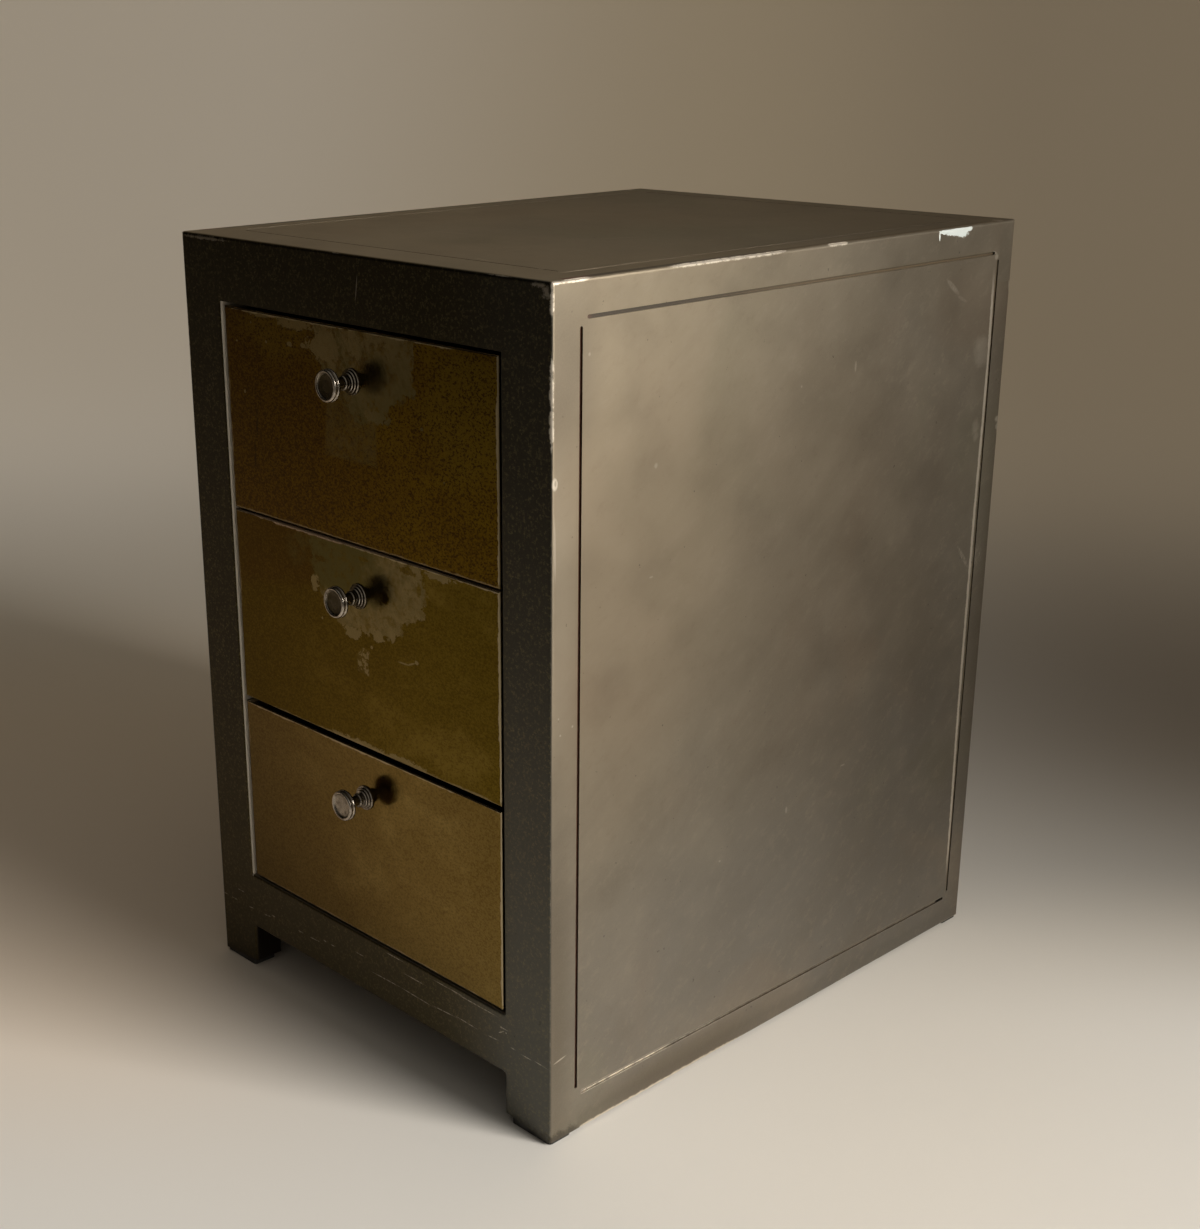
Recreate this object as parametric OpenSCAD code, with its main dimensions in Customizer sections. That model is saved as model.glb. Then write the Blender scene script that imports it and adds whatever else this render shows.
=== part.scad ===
// Small steel cabinet with three full-depth drawers.
// Welded and ground pressed-steel frame, flush panels, brass-plated drawer fronts.
// Origin: on the floor, under the middle of the overall box. +Z is up, the drawers face -Y.

/* [Case] */
// Width of the steel case
case_w = 463; // [400:1:600]
// Depth of the steel case, front face to rear face
case_d = 585; // [460:1:750]
// Height of the steel case, without its feet
case_h = 700; // [600:1:900]
// Thickness of the frame's pressed sheet
sheet_t = 1.5; // [1.2:0.1:2]
// Thickness of the side, top and bottom panels
panel_t = 2; // [1.5:0.1:2.5]
// Outer radius of the folded edges
bend_r = 2.6; // [2.2:0.1:4]

/* [Front and rear frames] */
// Face width of the corner posts
post_face_w = 54; // [45:1:65]
// Height of the header above the drawers
header_h = 55; // [45:1:70]
// Height of the bottom rail's face
sill_h = 56; // [45:1:70]
// Height of the arch between the legs
leg_h = 42; // [30:1:60]
// Rise of a front leg's lower edge towards its inner end
leg_rise = 5; // [0.5:0.5:8]
// Depth of the folded returns round the openings
return_d = 28; // [24:1:40]
// Depth of the back panel's folded edges
back_fold = 12; // [8:1:13]

/* [Sides and top] */
// Width of the front post seen from the side
front_side_w = 28; // [24:1:40]
// Width of the rear post seen from the side
rear_side_w = 22; // [20:1:40]
// Height of the top rail seen from the side
side_top_h = 26.5; // [20:0.5:40]
// Height of the bottom rail at its front end
side_low_front_h = 32; // [24:0.5:40]
// Height of the bottom rail at its rear end
side_low_rear_h = 26.5; // [20:0.5:36]
// Width of the side rails seen from the top
top_side_w = 29.5; // [22:0.5:45]
// Depth of the front header's top flange
top_front_w = 42; // [30:1:60]
// Depth of the rear header's top flange
top_rear_w = 30; // [30:1:60]
// Width of the side panels' slots
slot_w = 3; // [2:0.1:4]
// Width of the top panel's slots
top_slot_w = 1.2; // [0.8:0.1:3]
// Length of the corner tabs that join a panel to its frame
tab_l = 7.5; // [6:0.5:14]
// Width of the flange that laps behind a panel
lap_w = 14; // [8:1:20]

/* [Feet] */
// How far the feet stand below the case
foot_drop = 3; // [2:0.5:10]
// Width of a foot block
foot_w = 46; // [30:1:48]
// Depth of a foot block
foot_d = 24; // [18:1:26]
// Height of a foot block inside the leg
foot_in = 18; // [10:1:22]

/* [Drawer fronts] */
// How far the drawer fronts sit behind the frame's face
front_recess = 1.5; // [0.5:0.5:4]
// Side gap of a drawer front
gap_side = 3.4; // [1.5:0.1:5]
// Gap above the top drawer
gap_top = 3.4; // [1.5:0.1:5]
// Gap between the top and the middle drawer
gap_upper = 1.6; // [1:0.1:5]
// Gap between the middle and the bottom drawer
gap_lower = 4.4; // [1:0.1:6]
// Gap under the bottom drawer
gap_sill = 1.4; // [1:0.1:5]
// Depth of a drawer front's folded edges
front_fold = 14; // [11:0.5:18]
// Thickness of the plated front sheet
front_t = 1; // [0.8:0.1:1.2]
// Outer radius of the drawer front's edges
front_r = 1.4; // [1.3:0.1:3]

/* [Drawer boxes] */
// Thickness of the drawer box sheet
tray_t = 1; // [0.8:0.1:1.2]
// Gap between the drawer box and the frame's opening, each side
tray_side_gap = 15.5; // [14:0.5:20]
// Height of the drawer box above its front's lower edge
tray_lift = 6; // [4:0.5:12]
// Height of the drawer box sides
tray_h = 150; // [110:1:158]
// Width of the lips along the drawer box sides
tray_lip = 6; // [4:0.5:9]
// Gap between the drawer box and the rear face of the case
rear_room = 39.5; // [38:0.5:60]
// Length by which the drawer box stays in its runners when it is open
stay_l = 130; // [100:1:200]

/* [Runners] */
// Height of the runner channel
runner_h = 20; // [18:0.5:26]
// Width of the runner channel
runner_w = 12.5; // [12:0.5:13]
// Height of the runner above the drawer front's lower edge
runner_lift = 30; // [20:1:60]
// Gap between the drawer's slide and its runner
runner_gap = 0.3; // [0.2:0.1:0.6]
// Gap between the slide's edge and the runner's web
slide_edge_gap = 3; // [2.5:0.1:3.5]
// Height of the slide's welded leg
slide_leg_h = 13; // [10:0.5:15]
// Height of the stop tab at the slide's rear end
stop_tab_h = 12; // [10:0.5:13]
// Radius of a stop pin
stop_pin_r = 2.5; // [2:0.1:3]
// Radius of a runner screw's shank
runner_screw_r = 2; // [1.5:0.1:2.5]
// Length of a rubber buffer
buffer_l = 9; // [6:0.5:12]

/* [Knobs] */
// Diameter of the knob's head
knob_d = 27.2; // [20:0.2:34]
// Thickness of the knob's head
knob_head_t = 6.5; // [5:0.5:8]
// Reach of the knob in front of the drawer's face
knob_reach = 27; // [22:0.5:36]
// Diameter of the knob's neck
knob_neck_d = 8.6; // [8:0.2:10]
// Diameter of the bead on the neck
knob_bead_d = 12.6; // [11:0.2:14]
// Diameter of the stepped plate under the knob
knob_plate_d = 22; // [18:0.5:30]
// Thickness of the stepped plate
knob_plate_t = 5.4; // [3:0.3:6]
// Distance from a drawer front's top edge to its knob
knob_down = 43; // [25:1:90]
// Radius of the knob's screw
knob_screw_r = 2; // [1.5:0.1:2.5]
// Clearance round the knob's screw
screw_clear = 0.15; // [0.1:0.05:0.3]

/* [Hidden] */

STEEL = "#8a8172";
DARK_STEEL = "#5d5a54";
ZINC = "#9a9c9c";
BRASS = "#8a6d2b";
NICKEL = "#8d8a85";
RUBBER = "#1c1c1c";

BEND_STEPS = 6;
ROUND = 64;

// Case coordinates: x from the middle, y from the front face back, z from the case's lower edge.
front_y = (knob_reach - front_recess - case_d) / 2;
half_w = case_w / 2;
post_in = half_w - post_face_w;
open_z0 = leg_h + sill_h;
open_z1 = case_h - header_h;
open_w = 2 * post_in;
rear_y = case_d - rear_side_w;
rail_z1 = case_h - side_top_h;
top_in = half_w - top_side_w;
flange_x1 = half_w - panel_t;
flange_x0 = flange_x1 - sheet_t;

// Drawers: each front's height, and the lower edge of the one numbered n from the top.
front_w = open_w - 2 * gap_side;
front_h = (open_z1 - open_z0 - gap_top - gap_upper - gap_lower - gap_sill) / 3;
front_z3 = open_z0 + gap_sill;
front_z2 = front_z3 + front_h + gap_lower;
front_z1 = front_z2 + front_h + gap_upper;
function front_z(n) = n == 1 ? front_z1 : n == 2 ? front_z2 : front_z3;
tray_half = post_in - tray_side_gap;
box_y0 = front_recess + front_fold;
box_y1 = case_d - rear_room;
tray_l = box_y1 - box_y0;
drawer_travel = tray_l - stay_l;

// Runners: channels from just behind the drawer fronts to just ahead of the back panel's folds.
runner_end_gap = 1.5;
runner_y0 = box_y0 + runner_end_gap;
runner_y1 = case_d - back_fold - runner_end_gap;
slide_out = post_in - sheet_t - slide_edge_gap;
slide_z = sheet_t + runner_gap;
stop_gap = 0.3;
stop_pin_y = box_y1 - sheet_t - stop_gap - stop_pin_r - drawer_travel;
screw_front_y = (runner_y0 + return_d) / 2;
screw_rear_y = (runner_y1 + case_d - return_d) / 2;
screw_head_r = 1.75 * runner_screw_r;
screw_head_t = 1.4;
runner_screw_l = 6;
knob_thread_l = 9;

// ---- folded sheet ----

function unit(v) = v / norm(v);
function left_of(v) = [-v[1], v[0]];
function turned(v, a) = [v[0] * cos(a) - v[1] * sin(a), v[0] * sin(a) + v[1] * cos(a)];
function reversed(list) = [for (i = [len(list) - 1:-1:0]) list[i]];

// The arc of one right-angled bend at b, on the line that lies off to the left of the path.
function bend_arc(a, b, c, off, t, r) =
  let (
    d0 = unit(b - a),
    d1 = unit(c - b),
    s = d0[0] * d1[1] - d0[1] * d1[0] > 0 ? 1 : -1,
    reach = s > 0 ? r : r - t,
    centre = b - reach * d0 + s * reach * left_of(d0)
  )
  [for (k = [0:BEND_STEPS]) centre + turned(-s * (reach - s * off) * left_of(d0), s * 90 * k / BEND_STEPS)];

// One skin of a folded strip: the path moved off to its left.
function strip_skin(path, off, t, r) =
  let (last = len(path) - 1)
  [
    path[0] + off * left_of(unit(path[1] - path[0])),
    for (i = [1:1:last - 1]) each bend_arc(path[i - 1], path[i], path[i + 1], off, t, r),
    path[last] + off * left_of(unit(path[last] - path[last - 1]))
  ];

// Section of a folded sheet whose outer skin follows the path, with the metal on the path's left.
module folded(path, t = sheet_t, r = bend_r) {
  polygon(concat(strip_skin(path, 0, t, r), reversed(strip_skin(path, t, t, r))));
}

// Extrusions along each axis, from one coordinate to another.
module along_x(x0, x1) {
  translate([x0, 0, 0]) rotate([90, 0, 90]) linear_extrude(x1 - x0) children();
}
module along_y(y0, y1) {
  translate([0, y1, 0]) rotate([90, 0, 0]) linear_extrude(y1 - y0) children();
}
module along_z(z0, z1) {
  translate([0, 0, z0]) linear_extrude(z1 - z0) children();
}
module block(low, high) {
  translate(low) cube(high - low);
}
module hole_x(x0, x1, y, z, r) {
  translate([x0, y, z]) rotate([0, 90, 0]) cylinder(r = r, h = x1 - x0, $fn = ROUND);
}

module in_case() {
  translate([0, front_y, foot_drop]) children();
}
module left_side(is_left) {
  if (is_left) mirror([1, 0, 0]) children();
  else children();
}

// ---- case frame ----

// Sheet lapping behind the side panel, from the folded edge at y0 towards the panel.
module side_lap(edge_y, way, z0, z1) {
  reach = slot_w + lap_w;
  ya = way > 0 ? edge_y - sheet_t : edge_y - reach;
  yb = way > 0 ? edge_y + reach : edge_y + sheet_t;
  block([flange_x0, ya, z0], [flange_x1, yb, z1]);
  sa = way > 0 ? edge_y - sheet_t : edge_y;
  block([flange_x0, sa, z0], [half_w - sheet_t / 2, sa + sheet_t, z1]);
}

// Right-hand front post: inner return, face and side in one folded strip, with its leg cut on a slant below.
module front_post_shape() {
  face = [[post_in, 0], [half_w, 0], [half_w, front_side_w]];
  full = concat([[post_in, return_d]], face);
  difference() {
    along_z(0, leg_h) folded(full);
    along_y(-1, return_d + 1) polygon([[post_in - 1, -1], [half_w - bend_r, 0], [post_in - 1, leg_rise]]);
  }
  along_z(leg_h, open_z0) folded(face);
  along_z(open_z0, open_z1) folded(full);
  side_lap(front_side_w, 1, side_low_front_h, open_z1);
}

module front_post(is_left) {
  color(STEEL) in_case() left_side(is_left) difference() {
    front_post_shape();
    for (n = [1:3])
      hole_x(post_in - 1, post_in + sheet_t + 1, screw_front_y, runner_mid_z(n), screw_hole_r);
  }
}

// Right-hand rear post, standing on the end of the side's bottom rail.
module rear_post_shape() {
  face = [[half_w, rear_y], [half_w, case_d], [post_in, case_d]];
  full = concat(face, [[post_in, case_d - return_d]]);
  along_z(side_low_rear_h, leg_h) folded(full);
  along_z(leg_h, open_z0) folded(face);
  along_z(open_z0, open_z1) folded(full);
  side_lap(rear_y, -1, side_low_rear_h + sheet_t, open_z1);
}

module rear_post(is_left) {
  color(STEEL) in_case() left_side(is_left) difference() {
    rear_post_shape();
    for (n = [1:3])
      hole_x(post_in - 1, post_in + sheet_t + 1, screw_rear_y, runner_mid_z(n), screw_hole_r);
  }
}

// A block with its front, side and top edges rounded, open to the back and the bottom.
module rounded_cap(w, d, z0, z1, r) {
  intersection() {
    along_z(z0, z1) rounded_front(w, d, r);
    along_x(-w / 2, w / 2) rounded_nose(d, z0, z1, r);
    along_y(0, d) rounded_arch(w, z0, z1, r);
  }
}
module rounded_front(w, d, r) {
  translate([-w / 2, r]) square([w, d - r]);
  translate([r - w / 2, 0]) square([w - 2 * r, d]);
  for (s = [-1, 1]) translate([s * (w / 2 - r), r]) circle(r, $fn = ROUND);
}
module rounded_nose(d, z0, z1, r) {
  translate([0, z0]) square([d, z1 - r - z0]);
  translate([r, z0]) square([d - r, z1 - z0]);
  translate([r, z1 - r]) circle(r, $fn = ROUND);
}
module rounded_arch(w, z0, z1, r) {
  translate([-w / 2, z0]) square([w, z1 - r - z0]);
  translate([r - w / 2, z0]) square([w - 2 * r, z1 - z0]);
  for (s = [-1, 1]) translate([s * (w / 2 - r), z1 - r]) circle(r, $fn = ROUND);
}

// Header: face, two short sides and a top flange, with laps for the top and side panels.
module header_shape(side_w, flange_d) {
  z0 = open_z1;
  difference() {
    rounded_cap(case_w, side_w, z0, case_h, bend_r);
    translate([0, sheet_t, 0])
      rounded_cap(case_w - 2 * sheet_t, 2 * side_w, z0 - 1, case_h - sheet_t, bend_r - sheet_t);
  }
  block([-top_in, side_w - 1, case_h - sheet_t], [top_in, flange_d, case_h]);
  lap_z = case_h - panel_t - sheet_t;
  lap_y1 = flange_d + top_slot_w + lap_w;
  block([-top_in, flange_d - sheet_t, lap_z], [top_in, lap_y1, lap_z + sheet_t]);
  block([-top_in, flange_d - sheet_t, lap_z], [top_in, flange_d, case_h - sheet_t / 2]);
  block([-post_in, sheet_t / 2, z0], [post_in, return_d, z0 + sheet_t]);
  for (s = [0, 1]) mirror([s, 0, 0]) side_lap(side_w, 1, z0, rail_z1);
}

module front_header() {
  color(STEEL) in_case() header_shape(front_side_w, top_front_w);
}
module rear_header() {
  color(STEEL) in_case() translate([0, case_d, 0]) rotate([0, 0, 180]) header_shape(rear_side_w, top_rear_w);
}

// Bottom rail between the posts: a channel with its folds turned inwards.
module bottom_rail_shape() {
  along_x(-post_in, post_in)
    folded([[return_d, open_z0], [0, open_z0], [0, leg_h], [return_d, leg_h]]);
}
module front_bottom_rail() {
  color(STEEL) in_case() bottom_rail_shape();
}
module rear_bottom_rail() {
  color(STEEL) in_case() translate([0, case_d, 0]) mirror([0, 1, 0]) bottom_rail_shape();
}

// Side top rail: side face and top strip, with a lap behind the side panel and one under the top panel.
module side_top_rail(is_left) {
  lap_y0 = front_side_w + slot_w + lap_w;
  lap_y1 = rear_y - slot_w - lap_w;
  top_y0 = top_front_w + top_slot_w + lap_w;
  top_y1 = case_d - top_rear_w - top_slot_w - lap_w;
  lap_z = case_h - panel_t - sheet_t;
  lap_x0 = top_in - top_slot_w - lap_w;
  color(STEEL) in_case() left_side(is_left) {
    along_y(front_side_w, rear_y) folded([[half_w, rail_z1], [half_w, case_h], [top_in, case_h]]);
    block([flange_x0, lap_y0, rail_z1 - slot_w - lap_w], [flange_x1, lap_y1, rail_z1 + sheet_t]);
    block([flange_x0, lap_y0, rail_z1], [half_w - sheet_t / 2, lap_y1, rail_z1 + sheet_t]);
    block([lap_x0, top_y0, lap_z], [top_in + sheet_t, top_y1, lap_z + sheet_t]);
    block([top_in, top_y0, lap_z], [top_in + sheet_t, top_y1, case_h - sheet_t / 2]);
  }
}

// Height of the side bottom rail's upper edge at depth y: it runs down a little towards the back.
function low_edge_z(y) =
  side_low_front_h + (side_low_rear_h - side_low_front_h) * (y - front_side_w) / (rear_y - front_side_w);

// Side bottom rail: side face with a floor fold, turned round the rear corner to form the rear leg.
module side_bottom_rail(is_left) {
  lap_y0 = front_side_w + slot_w + lap_w;
  lap_y1 = rear_y - slot_w - lap_w;
  fold_w = 15;
  fold_y1 = case_d - sheet_t - foot_d - 2;
  tall = max(side_low_front_h, side_low_rear_h);
  color(STEEL) in_case() left_side(is_left) {
    intersection() {
      along_z(0, tall)
        folded([[half_w, front_side_w], [half_w, case_d], [post_in, case_d], [post_in, case_d - return_d]]);
      union() {
        block([0, front_side_w, 0], [half_w - bend_r, case_d, side_low_rear_h]);
        along_x(half_w - bend_r, half_w) polygon([
          [front_side_w, 0], [case_d, 0], [case_d, side_low_rear_h],
          [rear_y, side_low_rear_h], [front_side_w, side_low_front_h]
        ]);
      }
    }
    block([half_w - fold_w, front_side_w, 0], [half_w - sheet_t / 2, fold_y1, sheet_t]);
    along_x(flange_x0, flange_x1) polygon([
      [lap_y0, low_edge_z(lap_y0) - sheet_t], [lap_y1, low_edge_z(lap_y1) - sheet_t],
      [lap_y1, low_edge_z(lap_y1) + slot_w + lap_w], [lap_y0, low_edge_z(lap_y0) + slot_w + lap_w]
    ]);
    along_x(flange_x0, half_w - sheet_t / 2) polygon([
      [lap_y0, low_edge_z(lap_y0) - sheet_t], [lap_y1, low_edge_z(lap_y1) - sheet_t],
      [lap_y1, low_edge_z(lap_y1)], [lap_y0, low_edge_z(lap_y0)]
    ]);
  }
}

// ---- panels ----

// A slot with round ends, w wide, along the line from a to b.
module slot_2d(a, b, w) {
  run = b - a;
  translate(a) rotate(atan2(run[1], run[0])) {
    translate([w / 2, -w / 2]) square([norm(run) - w, w]);
    translate([w / 2, 0]) circle(d = w, $fn = ROUND);
    translate([norm(run) - w / 2, 0]) circle(d = w, $fn = ROUND);
  }
}

// A four-sided panel that fills its frame, with a slot along each side that stops short of the corners.
module slotted_panel(corners, w, tab) {
  difference() {
    polygon(corners);
    for (i = [0:3]) {
      a = corners[i];
      b = corners[(i + 1) % 4];
      along = unit(b - a);
      inward = left_of(along) * w / 2;
      slot_2d(a + along * tab + inward, b - along * tab + inward, w);
      translate(a + along * (tab + w / 2)) rotate(atan2(along[1], along[0]))
        translate([0, -1]) square([norm(b - a) - 2 * tab - w, 1 + w / 2]);
    }
  }
}

module side_panel(is_left) {
  color(STEEL) in_case() left_side(is_left) along_x(flange_x1, half_w) slotted_panel([
    [front_side_w, side_low_front_h], [rear_y, side_low_rear_h],
    [rear_y, rail_z1], [front_side_w, rail_z1]
  ], slot_w, tab_l);
}

module top_panel() {
  color(STEEL) in_case() along_z(case_h - panel_t, case_h) slotted_panel([
    [-top_in, top_front_w], [top_in, top_front_w],
    [top_in, case_d - top_rear_w], [-top_in, case_d - top_rear_w]
  ], top_slot_w, tab_l);
}

// A sheet pan lying on its face at y = 0, with rounded face edges and its folds running back.
module pan(w, h, d, t, r) {
  difference() {
    pan_block(w, h, d, r);
    translate([0, t, t]) pan_block(w - 2 * t, h - 2 * t, d, r - t);
  }
}
module pan_block(w, h, d, r) {
  intersection() {
    along_z(0, h) rounded_front(w, d, r);
    along_x(-w / 2, w / 2) rounded_edges(d, h, r);
  }
}
module rounded_edges(d, h, r) {
  translate([r, 0]) square([d - r, h]);
  translate([0, r]) square([d, h - 2 * r]);
  for (z = [r, h - r]) translate([r, z]) circle(r, $fn = ROUND);
}

module back_panel() {
  color(STEEL) in_case() translate([0, case_d, open_z0]) mirror([0, 1, 0])
    pan(open_w, open_z1 - open_z0, back_fold, sheet_t, bend_r);
}

// Floor of the case, lying on the bottom rails' lower folds.
module bottom_panel() {
  side_gap = 0.5;
  end_gap = bend_r - sheet_t + 0.5;
  z0 = leg_h + sheet_t;
  color(DARK_STEEL) in_case() block(
    [side_gap - post_in, sheet_t + end_gap, z0],
    [post_in - side_gap, case_d - sheet_t - end_gap, z0 + panel_t]
  );
}

// ---- feet ----

// Foot block, standing in the corner of a leg and reaching below it.
module foot(is_left, is_rear) {
  corner_r = 3;
  x1 = half_w - sheet_t;
  y0 = is_rear ? case_d - sheet_t - foot_d : sheet_t;
  color(DARK_STEEL) in_case() left_side(is_left) along_z(-foot_drop, foot_in)
    translate([x1 - foot_w, y0]) rounded_plate(foot_w, foot_d, corner_r);
}
module rounded_plate(w, d, r) {
  translate([r, 0]) square([w - 2 * r, d]);
  translate([0, r]) square([w, d - 2 * r]);
  for (x = [r, w - r], y = [r, d - r]) translate([x, y]) circle(r, $fn = ROUND);
}

// ---- runners ----

screw_hole_r = runner_screw_r + screw_clear;
pin_hole_r = stop_pin_r + screw_clear;
function runner_z(n) = front_z(n) + runner_lift;
function runner_mid_z(n) = runner_z(n) + runner_h / 2;

// Channel runner, open towards the drawer, fixed to the posts' inner returns.
module runner(n, is_left) {
  z0 = runner_z(n);
  x0 = post_in - runner_w;
  pin_x = (x0 + slide_out) / 2;
  color(ZINC) in_case() left_side(is_left) difference() {
    along_y(runner_y0, runner_y1)
      folded([[x0, z0], [post_in, z0], [post_in, z0 + runner_h], [x0, z0 + runner_h]]);
    for (y = [screw_front_y, screw_rear_y])
      hole_x(post_in - sheet_t - 1, post_in + 1, y, runner_mid_z(n), screw_hole_r);
    translate([pin_x, stop_pin_y, z0 + runner_h - sheet_t - 1])
      cylinder(r = pin_hole_r, h = sheet_t + 2, $fn = ROUND);
  }
}

// Pan-head screws through both ends of each runner into the posts.
module runner_screws() {
  head_x = post_in - sheet_t;
  color(ZINC) in_case() for (s = [0, 1], n = [1:3], y = [screw_front_y, screw_rear_y]) mirror([s, 0, 0]) {
    hole_x(head_x - screw_head_t, head_x, y, runner_mid_z(n), screw_head_r);
    hole_x(head_x - screw_head_t / 2, head_x + runner_screw_l, y, runner_mid_z(n), runner_screw_r);
  }
}

// Stop pins hanging from the runners' upper legs, which catch the slides' tabs.
module stop_pins() {
  x0 = post_in - runner_w;
  pin_x = (x0 + slide_out) / 2;
  pin_l = 11;
  head_t = 1.5;
  color(ZINC) in_case() for (s = [0, 1], n = [1:3]) mirror([s, 0, 0])
    translate([pin_x, stop_pin_y, runner_z(n) + runner_h]) {
      cylinder(r = 1.6 * stop_pin_r, h = head_t, $fn = ROUND);
      translate([0, 0, -pin_l]) cylinder(r = stop_pin_r, h = pin_l + head_t / 2, $fn = ROUND);
    }
}

// Rubber buffers in the runners' rear ends, which meet the slides when the drawers are shut.
module rubber_buffers() {
  low_x = post_in - runner_w + 1;
  high_x = post_in - sheet_t;
  buffer_h = 12;
  y0 = box_y1 + stop_gap;
  color(RUBBER) in_case() for (s = [0, 1], n = [1:3]) mirror([s, 0, 0])
    block([low_x, y0, runner_z(n) + bend_r], [high_x, y0 + buffer_l, runner_z(n) + bend_r + buffer_h]);
}

// ---- drawers ----

module in_drawer(n) {
  in_case() translate([0, front_recess, front_z(n)]) children();
}

// Plated drawer front: a pan with its folds turned back.
module drawer_front(n) {
  color(BRASS) in_drawer(n) difference() {
    pan(front_w, front_h, front_fold, front_t, front_r);
    at_knob() cylinder(r = knob_screw_r + screw_clear, h = 3 * front_t, center = true, $fn = ROUND);
  }
}

// Inner front: a second pan nested in the first, which carries the drawer box.
module drawer_inner_front(n) {
  nest_d = 9;
  access_r = 2 * knob_screw_r + 4;
  w = front_w - 2 * front_t;
  h = front_h - 2 * front_t;
  color(ZINC) in_drawer(n) difference() {
    translate([0, front_fold, front_t]) mirror([0, 1, 0]) pan(w, h, nest_d, tray_t, tray_t + 0.6);
    at_knob() translate([0, 0, -2 * front_fold]) cylinder(r = access_r, h = 2 * front_fold, $fn = ROUND);
  }
}

// Drawer box: bottom and sides in one folded sheet, with lips along the top.
module drawer_tray(n) {
  x = tray_half;
  z0 = tray_lift;
  z1 = tray_lift + tray_h - tray_t;
  color(ZINC) in_drawer(n) along_y(front_fold, front_fold + tray_l)
    folded([[-x - tray_lip, z1], [-x, z1], [-x, z0], [x, z0], [x, z1], [x + tray_lip, z1]], tray_t, 2);
}

// Drawer back: a folded sheet between the box's sides.
module drawer_back(n) {
  x = tray_half - tray_t;
  flange = 10;
  y1 = front_fold + tray_l;
  z0 = tray_lift + tray_t + 1.2;
  z1 = tray_lift + tray_h - 6;
  color(ZINC) in_drawer(n) along_z(z0, z1)
    folded([[-x, y1], [-x, y1 - flange], [x, y1 - flange], [x, y1]], tray_t, 2);
}

// Slide: an angle welded to the box's side, riding in the runner, with a stop tab at its rear end.
module drawer_slide(n, is_left) {
  z0 = runner_lift + slide_z;
  y1 = front_fold + tray_l;
  tab_x0 = post_in - runner_w + 1.5;
  color(ZINC) in_drawer(n) left_side(is_left) {
    along_y(front_fold + runner_end_gap, y1)
      folded([[tray_half, z0 + slide_leg_h], [tray_half, z0], [slide_out, z0]], sheet_t, 2);
    block([tab_x0, y1 - sheet_t, z0 + sheet_t / 2], [slide_out, y1, z0 + stop_tab_h]);
  }
}

// Places its children with +Z pointing out of the drawer's face at the knob's centre.
module at_knob() {
  translate([0, 0, front_h - knob_down]) rotate([90, 0, 0]) children();
}

// Stepped plate between the knob and the drawer front.
module knob_plate(n) {
  r = knob_plate_d / 2;
  step = knob_plate_t / 3;
  color(NICKEL) in_drawer(n) at_knob() difference() {
    rotate_extrude($fn = ROUND) polygon([
      [0, 0], [r, 0], [r, step * 0.6], [r - 0.5, step], [0.86 * r, step],
      [0.86 * r, step * 1.6], [0.86 * r - 0.5, step * 2], [0.72 * r, step * 2],
      [0.72 * r, step * 2.6], [0.72 * r - 0.5, step * 3], [0, step * 3]
    ]);
    translate([0, 0, -1]) cylinder(r = knob_screw_r + screw_clear, h = knob_plate_t + 2, $fn = ROUND);
  }
}

// Points of an arc about a centre, from one angle to another.
function arc_points(c, r, a0, a1, steps) =
  [for (k = [0:steps]) c + r * [cos(a0 + (a1 - a0) * k / steps), sin(a0 + (a1 - a0) * k / steps)]];

// Turned knob: neck with a bead by the plate, flaring into a dished round head with a groove round its side.
module knob(n) {
  neck = knob_neck_d / 2;
  head = knob_d / 2;
  rim_r = knob_head_t / 4;
  lip_in = rim_r + 0.3;
  dish = 1.75;
  bead_r = (knob_bead_d - knob_neck_d) / 2;
  bead_z = knob_plate_t + bead_r + 1;
  head_z0 = knob_reach - knob_head_t;
  flare_r = 3.4;
  thread_l = knob_plate_t + knob_thread_l;
  color(NICKEL) in_drawer(n) at_knob() difference() {
    rotate_extrude($fn = ROUND) polygon(concat(
      [[0, knob_plate_t], [neck + 1, knob_plate_t], [neck, knob_plate_t + 0.8]],
      arc_points([neck, bead_z], bead_r, -80, 80, 8),
      arc_points([neck + flare_r, head_z0 - flare_r], flare_r, 180, 97, 7),
      arc_points([head - rim_r, head_z0 + rim_r], rim_r, -90, 70, 10),
      arc_points([head - lip_in, knob_reach - rim_r], rim_r, -60, 150, 12),
      [[head - 2.6 * rim_r, knob_reach - dish + 0.3], [0.4 * head, knob_reach - dish], [0, knob_reach - dish]]
    ));
    translate([0, 0, knob_plate_t - 1]) cylinder(r = knob_screw_r + screw_clear / 3, h = knob_thread_l + 2, $fn = ROUND);
  }
}

// Machine screw that draws the knob against its plate from inside the drawer front.
module knob_screw(n) {
  head_t = 2;
  color(ZINC) in_drawer(n) at_knob() {
    translate([0, 0, -front_t - head_t]) cylinder(r = 1.9 * knob_screw_r, h = head_t, $fn = ROUND);
    translate([0, 0, -front_t - head_t / 2])
      cylinder(r = knob_screw_r, h = front_t + head_t / 2 + knob_plate_t + knob_thread_l, $fn = ROUND);
  }
}

front_header();
rear_header();
front_post(false);  // front_post_right
front_post(true);  // front_post_left
rear_post(false);  // rear_post_right
rear_post(true);  // rear_post_left
front_bottom_rail();
rear_bottom_rail();
side_top_rail(false);  // side_top_rail_right
side_top_rail(true);  // side_top_rail_left
side_bottom_rail(false);  // side_bottom_rail_right
side_bottom_rail(true);  // side_bottom_rail_left
side_panel(false);  // side_panel_right
side_panel(true);  // side_panel_left
top_panel();
back_panel();
bottom_panel();
foot(false, false);  // foot_front_right
foot(true, false);  // foot_front_left
foot(false, true);  // foot_rear_right
foot(true, true);  // foot_rear_left
runner(1, false);  // runner_1_right
runner(1, true);  // runner_1_left
runner(2, false);  // runner_2_right
runner(2, true);  // runner_2_left
runner(3, false);  // runner_3_right
runner(3, true);  // runner_3_left
runner_screws();
stop_pins();
rubber_buffers();
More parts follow.
